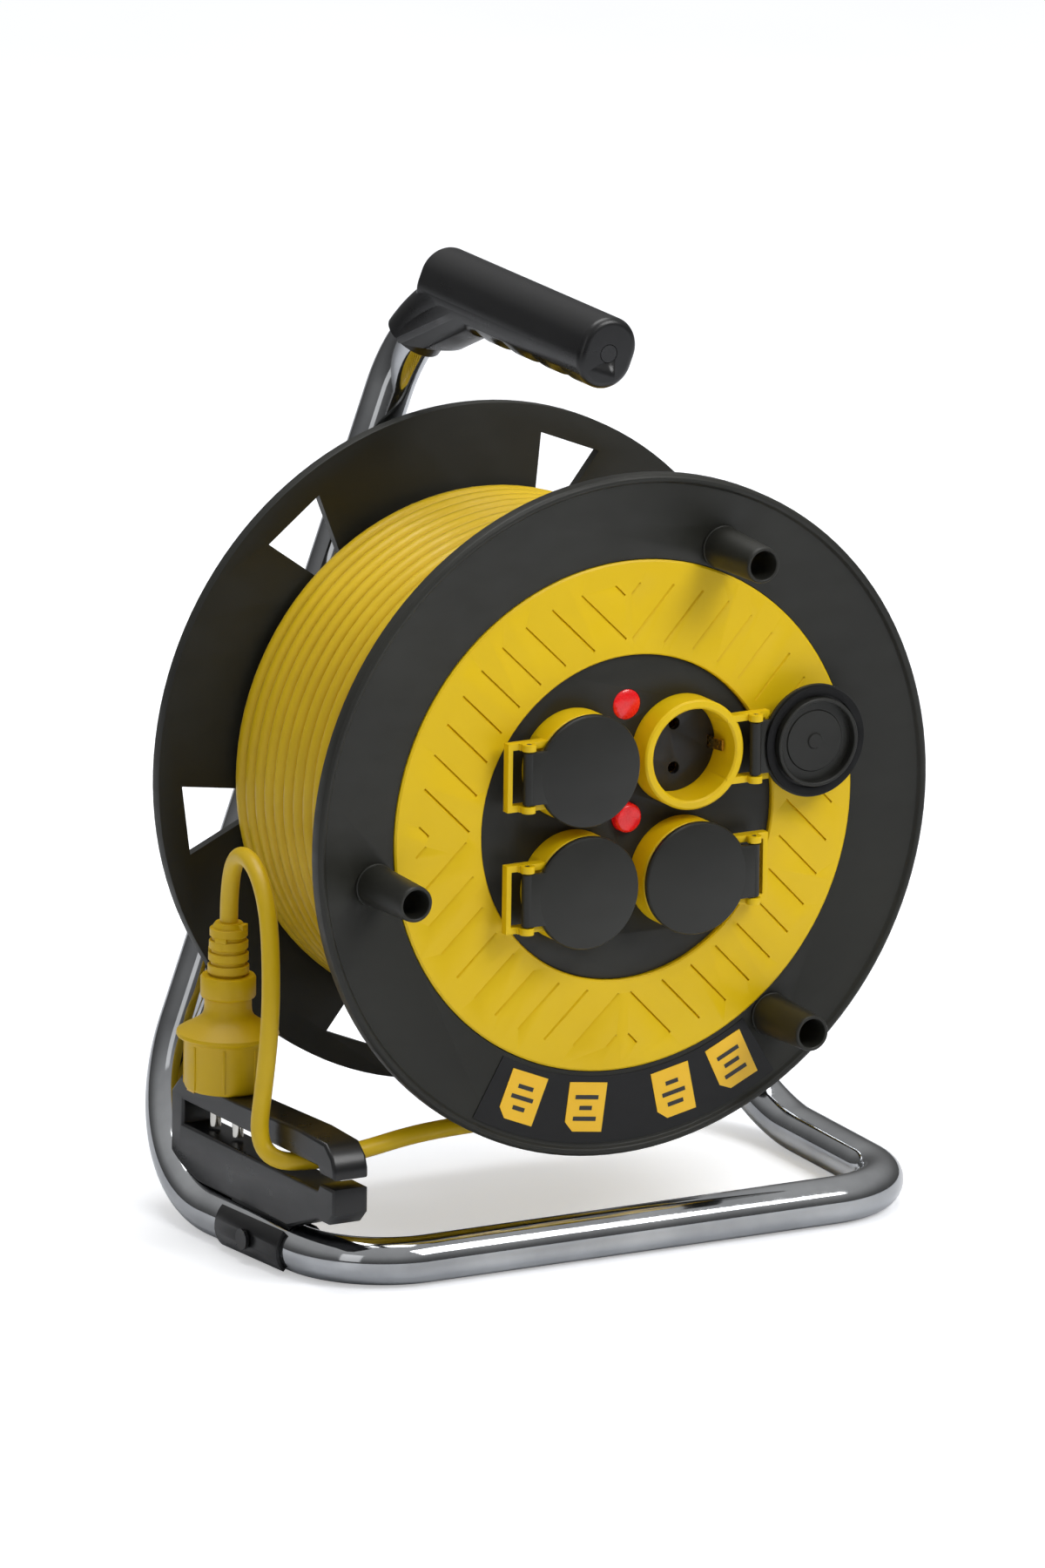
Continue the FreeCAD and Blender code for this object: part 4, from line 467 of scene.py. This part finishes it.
@dataclass
class BentTubeStand:
    """The stand's one bent tube, swept along its straight runs and bends."""

    radius: float = 10.0
    sides: int = 48
    base: float = -175.0
    half: float = 135.0
    rear_half: float = 143.5
    front: float = -9.0
    back: float = 158.0
    grip_x: float = -8.0
    grip_height: float = 197.0
    right_top: float = 24.0
    tube_start: float = 18.0
    bends: tuple[float, ...] = (50.0, 66.0, 40.0, 40.0, 66.0)

    def leg_x(self, height: float) -> float:
        """How far the left leg stands from the axis at a height."""
        lean = (self.grip_x + self.rear_half) / (self.grip_height - self.base)
        return -self.rear_half + lean * (height - self.base)

    def corners(self) -> list[Vector]:
        """The tube's corner points from the grip's end to the right leg's top."""
        return [
            spot(self.grip_x, self.tube_start, self.grip_height),
            spot(self.grip_x, self.back, self.grip_height),
            spot(-self.rear_half, self.back, self.base),
            spot(-self.half, self.front, self.base),
            spot(self.half, self.front, self.base),
            spot(self.rear_half, self.back, self.base),
            spot(-self.leg_x(self.right_top), self.back, self.right_top),
        ]

    def build(self) -> bpy.types.Object:
        """Sweeps the tube with extrusions for its runs and spins for its bends."""
        shape = bmesh.new()
        points = self.corners()
        way = (points[1] - points[0]).normalized()
        start = Matrix.Translation(points[0]) @ way.to_track_quat("Z", "Y").to_matrix().to_4x4()
        bmesh.ops.create_circle(shape, cap_ends=False, segments=self.sides, radius=self.radius * MM, matrix=start)
        ring = list(shape.edges)
        here = points[0]
        for index, bend in enumerate(self.bends, 1):
            corner = points[index]
            before = (points[index - 1] - corner).normalized()
            after = (points[index + 1] - corner).normalized()
            turn = math.pi - before.angle(after)
            reach = bend * MM * math.tan(turn / 2)
            ring = self.run(shape, ring, corner + before * reach - here)
            inward = (before + after).normalized()
            centre = corner + inward * (bend * MM / math.cos(turn / 2))
            axis = (-before).cross(after).normalized()
            made = bmesh.ops.spin(
                shape, geom=ring + list({v for e in ring for v in e.verts}), cent=centre, axis=axis, dvec=(0, 0, 0),
                angle=turn, steps=max(6, round(math.degrees(turn) / 3)), use_merge=False,
            )
            ring = [item for item in made["geom_last"] if isinstance(item, bmesh.types.BMEdge)]
            here = corner + after * reach
        self.run(shape, ring, points[-1] - here)
        bmesh.ops.holes_fill(shape, edges=shape.edges, sides=self.sides)
        bmesh.ops.recalc_face_normals(shape, faces=shape.faces)
        return finish_piece("stand_chrome_tube", shape, Finish.CHROME, "stand", ["stand_tube"])

    @staticmethod
    def run(shape: bmesh.types.BMesh, ring: list[bmesh.types.BMEdge], way: Vector) -> list[bmesh.types.BMEdge]:
        """Extrudes a ring of edges along a straight run and gives the new ring."""
        made = bmesh.ops.extrude_edge_only(shape, edges=ring)["geom"]
        bmesh.ops.translate(shape, verts=[item for item in made if isinstance(item, bmesh.types.BMVert)], vec=way)
        return [item for item in made if isinstance(item, bmesh.types.BMEdge)]


@dataclass
class MainsCable:
    """The free cord from the drum's free lane to the plug, and the wound layers."""

    diameter: float = 7.6
    lay_radius: float = 108.0
    flange_thick: float = 6.5
    lay_width: float = 130.0
    nesting: float = 0.8
    gap: float = 0.4
    pitch: float = 8.1
    turns: int = 14
    wound_from: float = -60.0
    join_angle: float = -40.0
    lane_lead: float = 30.0
    lane_turn: float = 30.0
    lane_steps: int = 10
    length: float = 1.0
    route: tuple[Point, ...] = (
        (-135.0, 93.5, -51.0),
        (-135.0, 93.5, -33.0),
        (-137.0, 82.5, -18.0),
        (-140.0, 62.5, -18.5),
        (-142.5, 47.5, -32.0),
        (-145.0, 39.5, -53.0),
        (-147.5, 35.0, -80.0),
        (-149.0, 37.5, -107.0),
        (-150.0, 40.5, -129.0),
        (-146.0, 34.0, -138.0),
        (-132.0, 24.5, -137.4),
        (-111.0, 21.5, -134.5),
        (-84.0, 23.5, -131.0),
        (-51.0, 23.0, -130.0),
        (-18.0, 20.0, -128.5),
        (13.0, 14.5, -124.5),
        (41.0, 10.7, -112.0),
    )

    def free_route(self) -> list[Vector]:
        """Control points from the winding's free lane to the plug."""
        points = [spot(*point) for point in self.route]
        lane = self.flange_thick + self.gap + self.diameter / 2
        join = math.radians(self.join_angle)
        touch = Vector((math.cos(join), math.sin(join))) * self.lay_radius
        tangent = Vector((-math.sin(join), math.cos(join))) * self.lane_lead
        points.append(spot(touch.x - tangent.x, lane, touch.y - tangent.y))
        reach = self.lay_radius / math.cos(math.radians(self.lane_turn / 2))
        for step in range(self.lane_steps):
            angle = math.radians(self.join_angle + self.lane_turn / 2 + self.lane_turn * step)
            points.append(spot(reach * math.cos(angle), lane, reach * math.sin(angle)))
        last = math.radians(self.join_angle + self.lane_turn * self.lane_steps)
        points.append(spot(self.lay_radius * math.cos(last), lane, self.lay_radius * math.sin(last)))
        return points[::-1]

    def thread(self, name: str, points: Sequence[Vector], sides: int) -> bpy.types.Object:
        """A round cable on a smooth spline through its control points.

        Args:
            name: The piece's name.
            points: Control points in the row frame.
            sides: Half of the faces round the cable, less two.

        Returns:
            The curve object.
        """
        curve = bpy.data.curves.new(name, "CURVE")
        curve.dimensions = "3D"
        curve.bevel_depth = self.diameter / 2 * MM
        curve.bevel_resolution = sides
        curve.resolution_u = 6
        curve.use_fill_caps = True
        spline = curve.splines.new("NURBS")
        spline.points.add(len(points) - 1)
        for target, source in zip(spline.points, points):
            target.co = (*source, 1.0)
        spline.order_u = 3
        spline.use_endpoint_u = True
        curve.materials.append(Finish.SHEATH.material())
        cable = bpy.data.objects.new(name, curve)
        bpy.context.scene.collection.objects.link(cable)
        return cable

    def build_free_cord(self) -> bpy.types.Object:
        """The free cord, riding on the stand in place of the CAD cord."""
        points = self.free_route()
        cable = self.thread("free_mains_cord", points, 6)
        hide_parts("free_cord")
        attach(cable, "stand")
        log.info("free_mains_cord rides on stand")
        return cable

    def helix(self, radius: float, first: float, count: int, sway: float) -> list[Vector]:
        """Control points of a wound layer.

        Args:
            radius: Of the cable's middle line.
            first: Depth of the first turn.
            count: Turns.
            sway: How far the lay wanders in depth, in millimetres.

        Returns:
            Sixteen points for each turn.
        """
        per_turn = 16
        reach = radius / math.cos(math.pi / per_turn)
        points = []
        for step in range(count * per_turn + 1):
            angle = math.radians(self.wound_from) + step * math.tau / per_turn
            depth = first + self.pitch * step / per_turn + sway * math.sin(2.0 * angle + 0.7)
            points.append(spot(reach * math.cos(angle), depth, reach * math.sin(angle)))
        return points

    def build_winding(self) -> None:
        """The outer layer's helix and the layer below it, which shows in its gaps."""
        first = self.flange_thick + self.gap + self.diameter + self.gap + self.diameter / 2
        outer_route = self.helix(self.lay_radius, first, self.turns, 0.12)
        outer = self.thread("wound_cable_outer", outer_route, 5)
        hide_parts("winding")
        inner_first = self.flange_thick + self.gap + self.diameter / 2
        inner_radius = self.lay_radius - self.diameter + 0.6
        inner_route = self.helix(inner_radius, inner_first, self.turns + 1, 0.1)
        inner = self.thread("wound_cable_inner", inner_route, 3)
        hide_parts("winding_core")
        for cable in (outer, inner):
            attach(cable, "drum")
            log.info("%s rides on drum", cable.name)
        shape = bmesh.new()
        for ring in range(4):
            radius = inner_radius - (self.diameter - self.nesting) * (ring + 1)
            self.end_turn(shape, radius, inner_first)
            self.end_turn(shape, radius, self.flange_thick + self.lay_width - self.gap - self.diameter / 2)
        finish_piece("wound_cable_ends", shape, Finish.SHEATH, "drum")

    def end_turn(self, shape: bmesh.types.BMesh, radius: float, depth: float) -> None:
        """Adds one closed turn of the lower layers, seen from the side of the winding."""
        centre = spot(0, depth, 0)
        start = Matrix.Translation(centre + Vector((radius * MM, 0, 0)))
        made = bmesh.ops.create_circle(shape, cap_ends=False, segments=14, radius=self.diameter / 2 * MM, matrix=start)
        edges = list({e for v in made["verts"] for e in v.link_edges})
        bmesh.ops.spin(
            shape, geom=made["verts"] + edges, cent=centre, axis=(0, 1, 0), dvec=(0, 0, 0), angle=math.tau, steps=56,
            use_merge=True,
        )
        island = grown({v for v in made["verts"] if v.is_valid})
        bmesh.ops.recalc_face_normals(shape, faces=list({f for v in island for f in v.link_faces}))


@dataclass
class ParkedPlug:
    """The mains plug that stands on the cord guide, with its strain relief."""

    x: float = -135.0
    depth: float = 93.5
    foot: float = -122.0
    rib_count: int = 8
    moulding: Profile = (
        (0.0, 0.0), (16.4, 0.0), (17.4, 0.5), (17.9, 1.6), (18.0, 19.6), (18.6, 21.2), (21.0, 22.4), (21.5, 23.2),
        (21.2, 24.4), (18.6, 26.0), (14.2, 28.4), (11.4, 30.4), (10.2, 32.4), (9.9, 35.0), (9.9, 38.6), (11.2, 39.2),
        (11.6, 40.0), (11.6, 47.4), (11.0, 48.4), (0.0, 48.4),
    )
    relief: Profile = ((0.0, 48.0), (7.4, 48.0), (7.2, 60.0), (6.6, 69.6), (5.6, 71.0), (0.0, 71.0))

    def build(self) -> list[bpy.types.Object]:
        """Makes the plug's moulding and its slotted strain relief."""
        base = spot(self.x, self.depth, self.foot)
        shape = bmesh.new()
        lathe(shape, self.moulding, base, Turning.UPRIGHT, 72)
        for step in range(self.rib_count):
            turn = Matrix.Rotation(math.tau * (step + 0.25) / self.rib_count, 4, "Z")
            low = Vector((17.4, -0.7, 1.4)) * MM
            high = Vector((18.35, 0.7, 20.4)) * MM
            verts = bar(shape, low, high, 0.25)
            bmesh.ops.transform(shape, matrix=Matrix.Translation(base) @ turn, verts=verts)
        body = finish_piece(
            "plug_moulding", shape, Finish.YELLOW_PLUG, "stand", ["plug_body"], sharp=40.0
        )
        shape = bmesh.new()
        lathe(shape, self.relief, base, Turning.UPRIGHT, 40)
        for level in range(4):
            low = 49.4 + level * 5.2
            radius = 8.7 - 0.25 * level
            ring = ((radius - 2.4, low), (radius - 0.4, low), (radius, low + 0.4), (radius, low + 3.3),
                    (radius - 0.4, low + 3.7), (radius - 2.4, low + 3.7))
            lathe(shape, (*ring, ring[0]), base, Turning.UPRIGHT, 40)
            turn = Matrix.Rotation(math.radians(90 * level + 35), 4, "Z")
            tie_low = Vector((radius - 2.4, -2.6, low + 3.4)) * MM
            tie_high = Vector((radius - 0.3, 2.6, low + 5.6)) * MM
            verts = bar(shape, tie_low, tie_high, 0.2)
            bmesh.ops.transform(shape, matrix=Matrix.Translation(base) @ turn, verts=verts)
        relief = finish_piece(
            "plug_relief_ribs", shape, Finish.YELLOW_PLUG, "stand", ["plug_strain_relief"], sharp=40.0
        )
        return [body, relief]


@dataclass
class OutletLid:
    """A hinged outlet lid with its rim, inner rib, hinge tab and knuckle."""

    name: str
    across: int
    rising: int
    is_open: bool = False
    place: float = 26.0
    hinge_place: float = 28.0
    hinge_rise: float = 13.6
    barrel_radius: float = 2.4
    barrel_half: float = 11.3
    radius: float = 24.0
    thick: float = 2.5

    def build(self) -> bpy.types.Object:
        """Makes the lid shut, and swings it half round where it stands open."""
        x = self.across * self.place
        z = self.rising * self.place
        front = -self.hinge_rise - self.barrel_radius
        back = front + self.thick
        rim = self.radius
        profile = (
            (0.0, front), (rim - 1.1, front), (rim - 0.45, front + 0.25), (rim, front + 0.9), (rim, back),
            (18.8, back), (18.8, back + 3.6), (18.4, back + 4.0), (17.6, back + 4.0), (17.2, back + 3.6),
            (17.2, back), (13.2, back), (12.8, back + 0.5), (3.4, back + 0.5), (3.0, back + 1.1), (0.0, back + 1.1),
        )
        shape = bmesh.new()
        lathe(shape, profile, spot(x, 0, z), Turning.ALONG_Y, 88)
        near = x + self.across * (rim - 8.0)
        far = x + self.across * (self.hinge_place - 0.4)
        tab_low = spot(min(near, far), front + 0.02, z - self.barrel_half)
        tab_high = spot(max(near, far), back, z + self.barrel_half)
        bar(shape, tab_low, tab_high, 0.4)
        around, long = self.barrel_radius, 2 * self.barrel_half
        knuckle = (
            (0.0, 0.0), (around - 0.3, 0.0), (around, 0.3), (around, long - 0.3), (around - 0.3, long), (0.0, long),
        )
        hinge_x = x + self.across * self.hinge_place
        lathe(shape, knuckle, spot(hinge_x, -self.hinge_rise, z - self.barrel_half), Turning.UPRIGHT, 24)
        if self.is_open:
            pivot = spot(hinge_x, -self.hinge_rise, z)
            swing = Matrix.Translation(pivot) @ Matrix.Rotation(math.pi, 4, "Z") @ Matrix.Translation(-pivot)
            bmesh.ops.transform(shape, matrix=swing, verts=shape.verts)
        return finish_piece(
            "outlet_lid_" + self.name, shape, Finish.BLACK_SMOOTH, "cover_" + self.name,
            ["lid_" + self.name],
        )


@dataclass
class FingerPegs:
    """Three hollow pegs on the drum's face that turn it by hand."""

    place: float = 118.5
    first_turn: float = 22.5
    profile: Profile = (
        (8.15, 6.0), (8.2, 2.0), (9.25, 2.0), (9.3, 1.4), (9.3, 0.8), (9.0, 0.5), (8.85, -0.2), (8.7, -2.0),
        (7.75, -31.6), (7.55, -32.6), (7.2, -33.0), (6.5, -33.0), (6.15, -32.7), (6.05, -32.2), (6.0, 6.0),
        (8.15, 6.0),
    )

    def build(self) -> bpy.types.Object:
        """Turns each peg about its own axis."""
        shape = bmesh.new()
        for step in range(3):
            angle = math.radians(self.first_turn + 120 * step)
            centre = spot(self.place * math.sin(angle), 0, self.place * math.cos(angle))
            lathe(shape, self.profile, centre, Turning.ALONG_Y, 40)
        return finish_piece("finger_peg_set", shape, Finish.BLACK, "drum", ["finger_pegs"])


@dataclass
class FaceLabel:
    """The film round the drum's foot: plain patches with generic bars."""

    centre: float = 124.0
    wide: float = 18.0
    tall: float = 21.0
    turns: tuple[float, ...] = (154.5, 168.0, 187.5, 202.0)
    depth: float = 1.3

    def build(self) -> bpy.types.Object:
        """Makes the patches' plain dark bars."""
        shape = bmesh.new()
        for index, turn in enumerate(self.turns):
            verts: list[bmesh.types.BMVert] = []
            for row in range(3):
                wide = (11.0, 7.5, 11.0, 6.0)[(index + row) % 4] / 2
                z = self.centre + 5.0 - 4.6 * row
                low = spot(-wide, self.depth - 0.12, z - 0.9)
                high = spot(wide, self.depth + 0.05, z + 0.9)
                verts += bar(shape, low, high, 0.0)
            spin = Matrix.Rotation(math.radians(turn), 4, "Y")
            pivot = Matrix.Translation(spot(0, 0, 0))
            bmesh.ops.transform(shape, matrix=pivot @ spin @ pivot.inverted(), verts=verts)
        return finish_piece("label_bars", shape, Finish.MARK, "drum")


@dataclass
class Studio:
    """A pale floor, soft lights, an even world and the long-lens camera."""

    azimuth: float = 29.83
    elevation: float = 14.91
    roll: float = 0.76
    distance: float = 12.0
    scale: float = 2.776
    aim: tuple[float, float] = (717.9, 937.4)
    frame_size: tuple[int, int] = (1200, 1800)
    floor_lift: float = 0.42
    lamps: tuple[tuple[str, Point, Point, tuple[float, float], float], ...] = (
        ("key_light", (0.9, -1.7, 1.9), (0.0, 0.0, 0.2), (1.1, 1.1), 34.0),
        ("fill_light", (-1.9, -1.2, 0.9), (0.0, 0.0, 0.2), (0.8, 1.3), 2.5),
        ("top_light", (0.1, 0.3, 2.2), (0.0, 0.0, 0.1), (1.3, 1.3), 27.0),
    )

    def build(self) -> None:
        """Sets up everything round the reel."""
        self.build_camera()
        self.build_floor()
        self.build_lamps()
        self.build_world()
        bpy.context.scene.view_settings.view_transform = "Standard"

    def build_camera(self) -> None:
        """Places the camera so that the drum's face lands where the picture has it."""
        turn, rise, lean = (math.radians(a) for a in (self.azimuth, self.elevation, self.roll))
        back = Vector((-math.sin(turn) * math.cos(rise), -math.cos(turn) * math.cos(rise), math.sin(rise)))
        right = Vector((math.cos(turn), -math.sin(turn), 0.0))
        up = back.cross(right)
        across = right * math.cos(lean) + up * math.sin(lean)
        above = up * math.cos(lean) - right * math.sin(lean)
        data = bpy.data.cameras.new("long_lens")
        data.sensor_width = 36.0
        data.lens = self.distance / MM * self.scale / self.frame_size[1] * data.sensor_width
        data.clip_start = 0.5
        data.clip_end = 60.0
        camera = bpy.data.objects.new("long_lens", data)
        bpy.context.scene.collection.objects.link(camera)
        side = (self.frame_size[0] / 2 - self.aim[0]) / self.scale * MM
        lift = (self.aim[1] - self.frame_size[1] / 2) / self.scale * MM
        place = spot(0, 0, 0) + back * self.distance + across * side + above * lift
        camera.matrix_world = Matrix((across, above, back)).transposed().to_4x4()
        camera.location = place
        bpy.context.scene.camera = camera

    def build_floor(self) -> None:
        """A wide pale floor that takes the reel's soft shadow."""
        shape = bmesh.new()
        bmesh.ops.create_grid(shape, x_segments=4, y_segments=4, size=9.0, matrix=Matrix.Translation((0, 0, -0.0002)))
        mesh = bpy.data.meshes.new("studio_floor")
        shape.to_mesh(mesh)
        shape.free()
        sheet = NodeSheet("studio_floor")
        sheet.tinted(sheet.noise(1.5, 2.0), "eceef3", "f0f2f6")
        sheet.join(sheet.ranged(sheet.noise(6.0), 0.30, 0.38), sheet.shader.inputs["Roughness"])
        sheet.set(Specular_IOR_Level=0.25, Emission_Color=(1.0, 1.0, 1.0, 1.0))
        path = sheet.add("ShaderNodeLightPath")
        lift = sheet.add("ShaderNodeMath")
        lift.operation = "MULTIPLY"
        lift.inputs[1].default_value = self.floor_lift
        sheet.join(path.outputs["Is Camera Ray"], lift.inputs[0])
        sheet.join(lift.outputs["Value"], sheet.shader.inputs["Emission Strength"])
        mesh.materials.append(sheet.material)
        floor = bpy.data.objects.new("studio_floor", mesh)
        bpy.context.scene.collection.objects.link(floor)

    def build_lamps(self) -> None:
        """Square soft lamps, each turned to its aim."""
        for name, place, aim, size, power in self.lamps:
            data = bpy.data.lights.new(name, "AREA")
            data.shape = "RECTANGLE"
            data.size, data.size_y = size
            data.energy = power
            lamp = bpy.data.objects.new(name, data)
            lamp.location = place
            lamp.rotation_euler = (Vector(aim) - Vector(place)).to_track_quat("-Z", "Y").to_euler()
            bpy.context.scene.collection.objects.link(lamp)

    def build_world(self) -> None:
        """White to the camera, softly banded to everything else."""
        world = bpy.data.worlds.new("studio_world")
        world.use_nodes = True
        tree = world.node_tree
        tree.nodes.clear()
        out = tree.nodes.new("ShaderNodeOutputWorld")
        mix = tree.nodes.new("ShaderNodeMixShader")
        seen = tree.nodes.new("ShaderNodeBackground")
        seen.inputs["Color"].default_value = (1.0, 1.0, 1.0, 1.0)
        lit = tree.nodes.new("ShaderNodeBackground")
        lit.inputs["Strength"].default_value = 0.6
        path = tree.nodes.new("ShaderNodeLightPath")
        coords = tree.nodes.new("ShaderNodeTexCoord")
        split = tree.nodes.new("ShaderNodeSeparateXYZ")
        band = tree.nodes.new("ShaderNodeValToRGB")
        stops = ((0.0, 0.62), (0.46, 0.55), (0.50, 0.16), (0.60, 0.30), (0.78, 0.80), (1.0, 1.0))
        ramp = band.color_ramp
        ramp.elements[0].position, ramp.elements[1].position = stops[0][0], stops[-1][0]
        for place, _ in stops[1:-1]:
            ramp.elements.new(place)
        for element, (_, tone) in zip(ramp.elements, stops):
            element.color = (tone, tone, tone, 1.0)
        lift = tree.nodes.new("ShaderNodeMath")
        lift.operation = "MULTIPLY_ADD"
        lift.inputs[1].default_value = 0.5
        lift.inputs[2].default_value = 0.5
        tree.links.new(coords.outputs["Generated"], split.inputs["Vector"])
        tree.links.new(split.outputs["Z"], lift.inputs[0])
        tree.links.new(lift.outputs["Value"], band.inputs["Fac"])
        tree.links.new(band.outputs["Color"], lit.inputs["Color"])
        tree.links.new(path.outputs["Is Camera Ray"], mix.inputs["Fac"])
        tree.links.new(lit.outputs["Background"], mix.inputs[1])
        tree.links.new(seen.outputs["Background"], mix.inputs[2])
        tree.links.new(mix.outputs["Shader"], out.inputs["Surface"])
        bpy.context.scene.world = world


@dataclass
class ReelDressing:
    """Every CAD node's finish, and which nodes get merged shells."""

    outlets: tuple[tuple[str, int, int], ...] = (
        ("top_left", -1, 1), ("top_right", 1, 1), ("bottom_left", -1, -1), ("bottom_right", 1, -1),
    )
    shells: list[DressedShell] = field(default_factory=list)

    def __post_init__(self) -> None:
        """Lists the shells."""
        black = "black_plastic"
        rows = [
            ("front_flange", Finish.BLACK, black, 0.3),
            ("rear_flange", Finish.BLACK, black, 0.3),
            ("drum_hub", Finish.BLACK, black, 0.0),
            ("trim_ring", Finish.YELLOW, "yellow_plastic", 0.0, 9.0),
            ("socket_plate", Finish.BLACK, black, 0.2),
            ("grip", Finish.GRIP_BLACK, black, 0.0),
            ("cable_guide", Finish.GRIP_BLACK, black, 0.9),
            ("tube_clamp", Finish.GRIP_BLACK, black, 0.3),
            ("tube_end_plugs", Finish.BLACK, black, 0.3),
            ("axle_bracket", Finish.BLACK_PAINT, "black_steel", 0.3),
            # The reset button gets the red plastic's painted glow too, though it is no lamp.
            ("reset_button", Finish.RED, "lamp_red", 0.25),
            ("lamp_lens", Finish.RED, "lamp_red", 0.25),
            ("label_band", Finish.LABEL, "label_film", 0.0),
            ("label_chips", Finish.CHIP, "label_chip", 0.0),
        ]
        rows += [("collar_" + name, Finish.YELLOW, "yellow_plastic", 0.25) for name, _, _ in self.outlets]
        rows += [("insert_" + name, Finish.INSERT, "insert_dark", 0.15) for name, _, _ in self.outlets]
        rows += [("seal_" + name, Finish.SEAL, "seal_rubber", 0.15) for name, _, _ in self.outlets]
        self.shells = [DressedShell(*row) for row in rows]

    def build(self) -> None:
        """Makes the shells and the lids, and finishes the nodes that stay."""
        for shell in self.shells:
            shell.build()
        for name, across, rising in self.outlets:
            OutletLid(name, across, rising, name == "top_right").build()
        springs = ["earth_springs_" + name for name, _, _ in self.outlets]
        plain = {
            Finish.ZINC: (
                "bracket_bolts", "axle", "axle_nut", "retaining_ring", "flange_screws", "hinge_pins", "button_spring",
            ),
            Finish.BLACK_PAINT: ("grip_screw", "clamp_screw"),
            Finish.NYLON: ("thrust_washer", "axle_bushes", "terminal_block", "cable_anchor"),
            Finish.BRASS: ("plug_earth_strips", "contact_sleeves", *springs),
            Finish.NICKEL: ("plug_prongs",),
            Finish.BLACK: ("overload_cutout",),
            Finish.GLASS: ("lamp_bulb",),
        }
        for finish, nodes in plain.items():
            for node in nodes:
                self.paint(frame["nodes"][node], finish)

    @staticmethod
    def paint(piece: bpy.types.Object, finish: Finish) -> None:
        """Gives a CAD node its finish in its own material slots."""
        if not piece.material_slots:
            piece.data.materials.append(finish.material())
        for holder in piece.material_slots:
            holder.material = finish.material()


def main() -> None:
    """Builds the studio, the cable and the reel's pieces in order."""
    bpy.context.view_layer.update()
    Studio().build()
    plug = ParkedPlug().build()
    cable = MainsCable()
    cable.build_free_cord()
    cable.build_winding()
    BentTubeStand().build()
    ReelDressing().build()
    FingerPegs().build()
    FaceLabel().build()
    log.info("reel dressed")


if __name__ == "__main__":
    logging.basicConfig(level=logging.INFO)
    main()
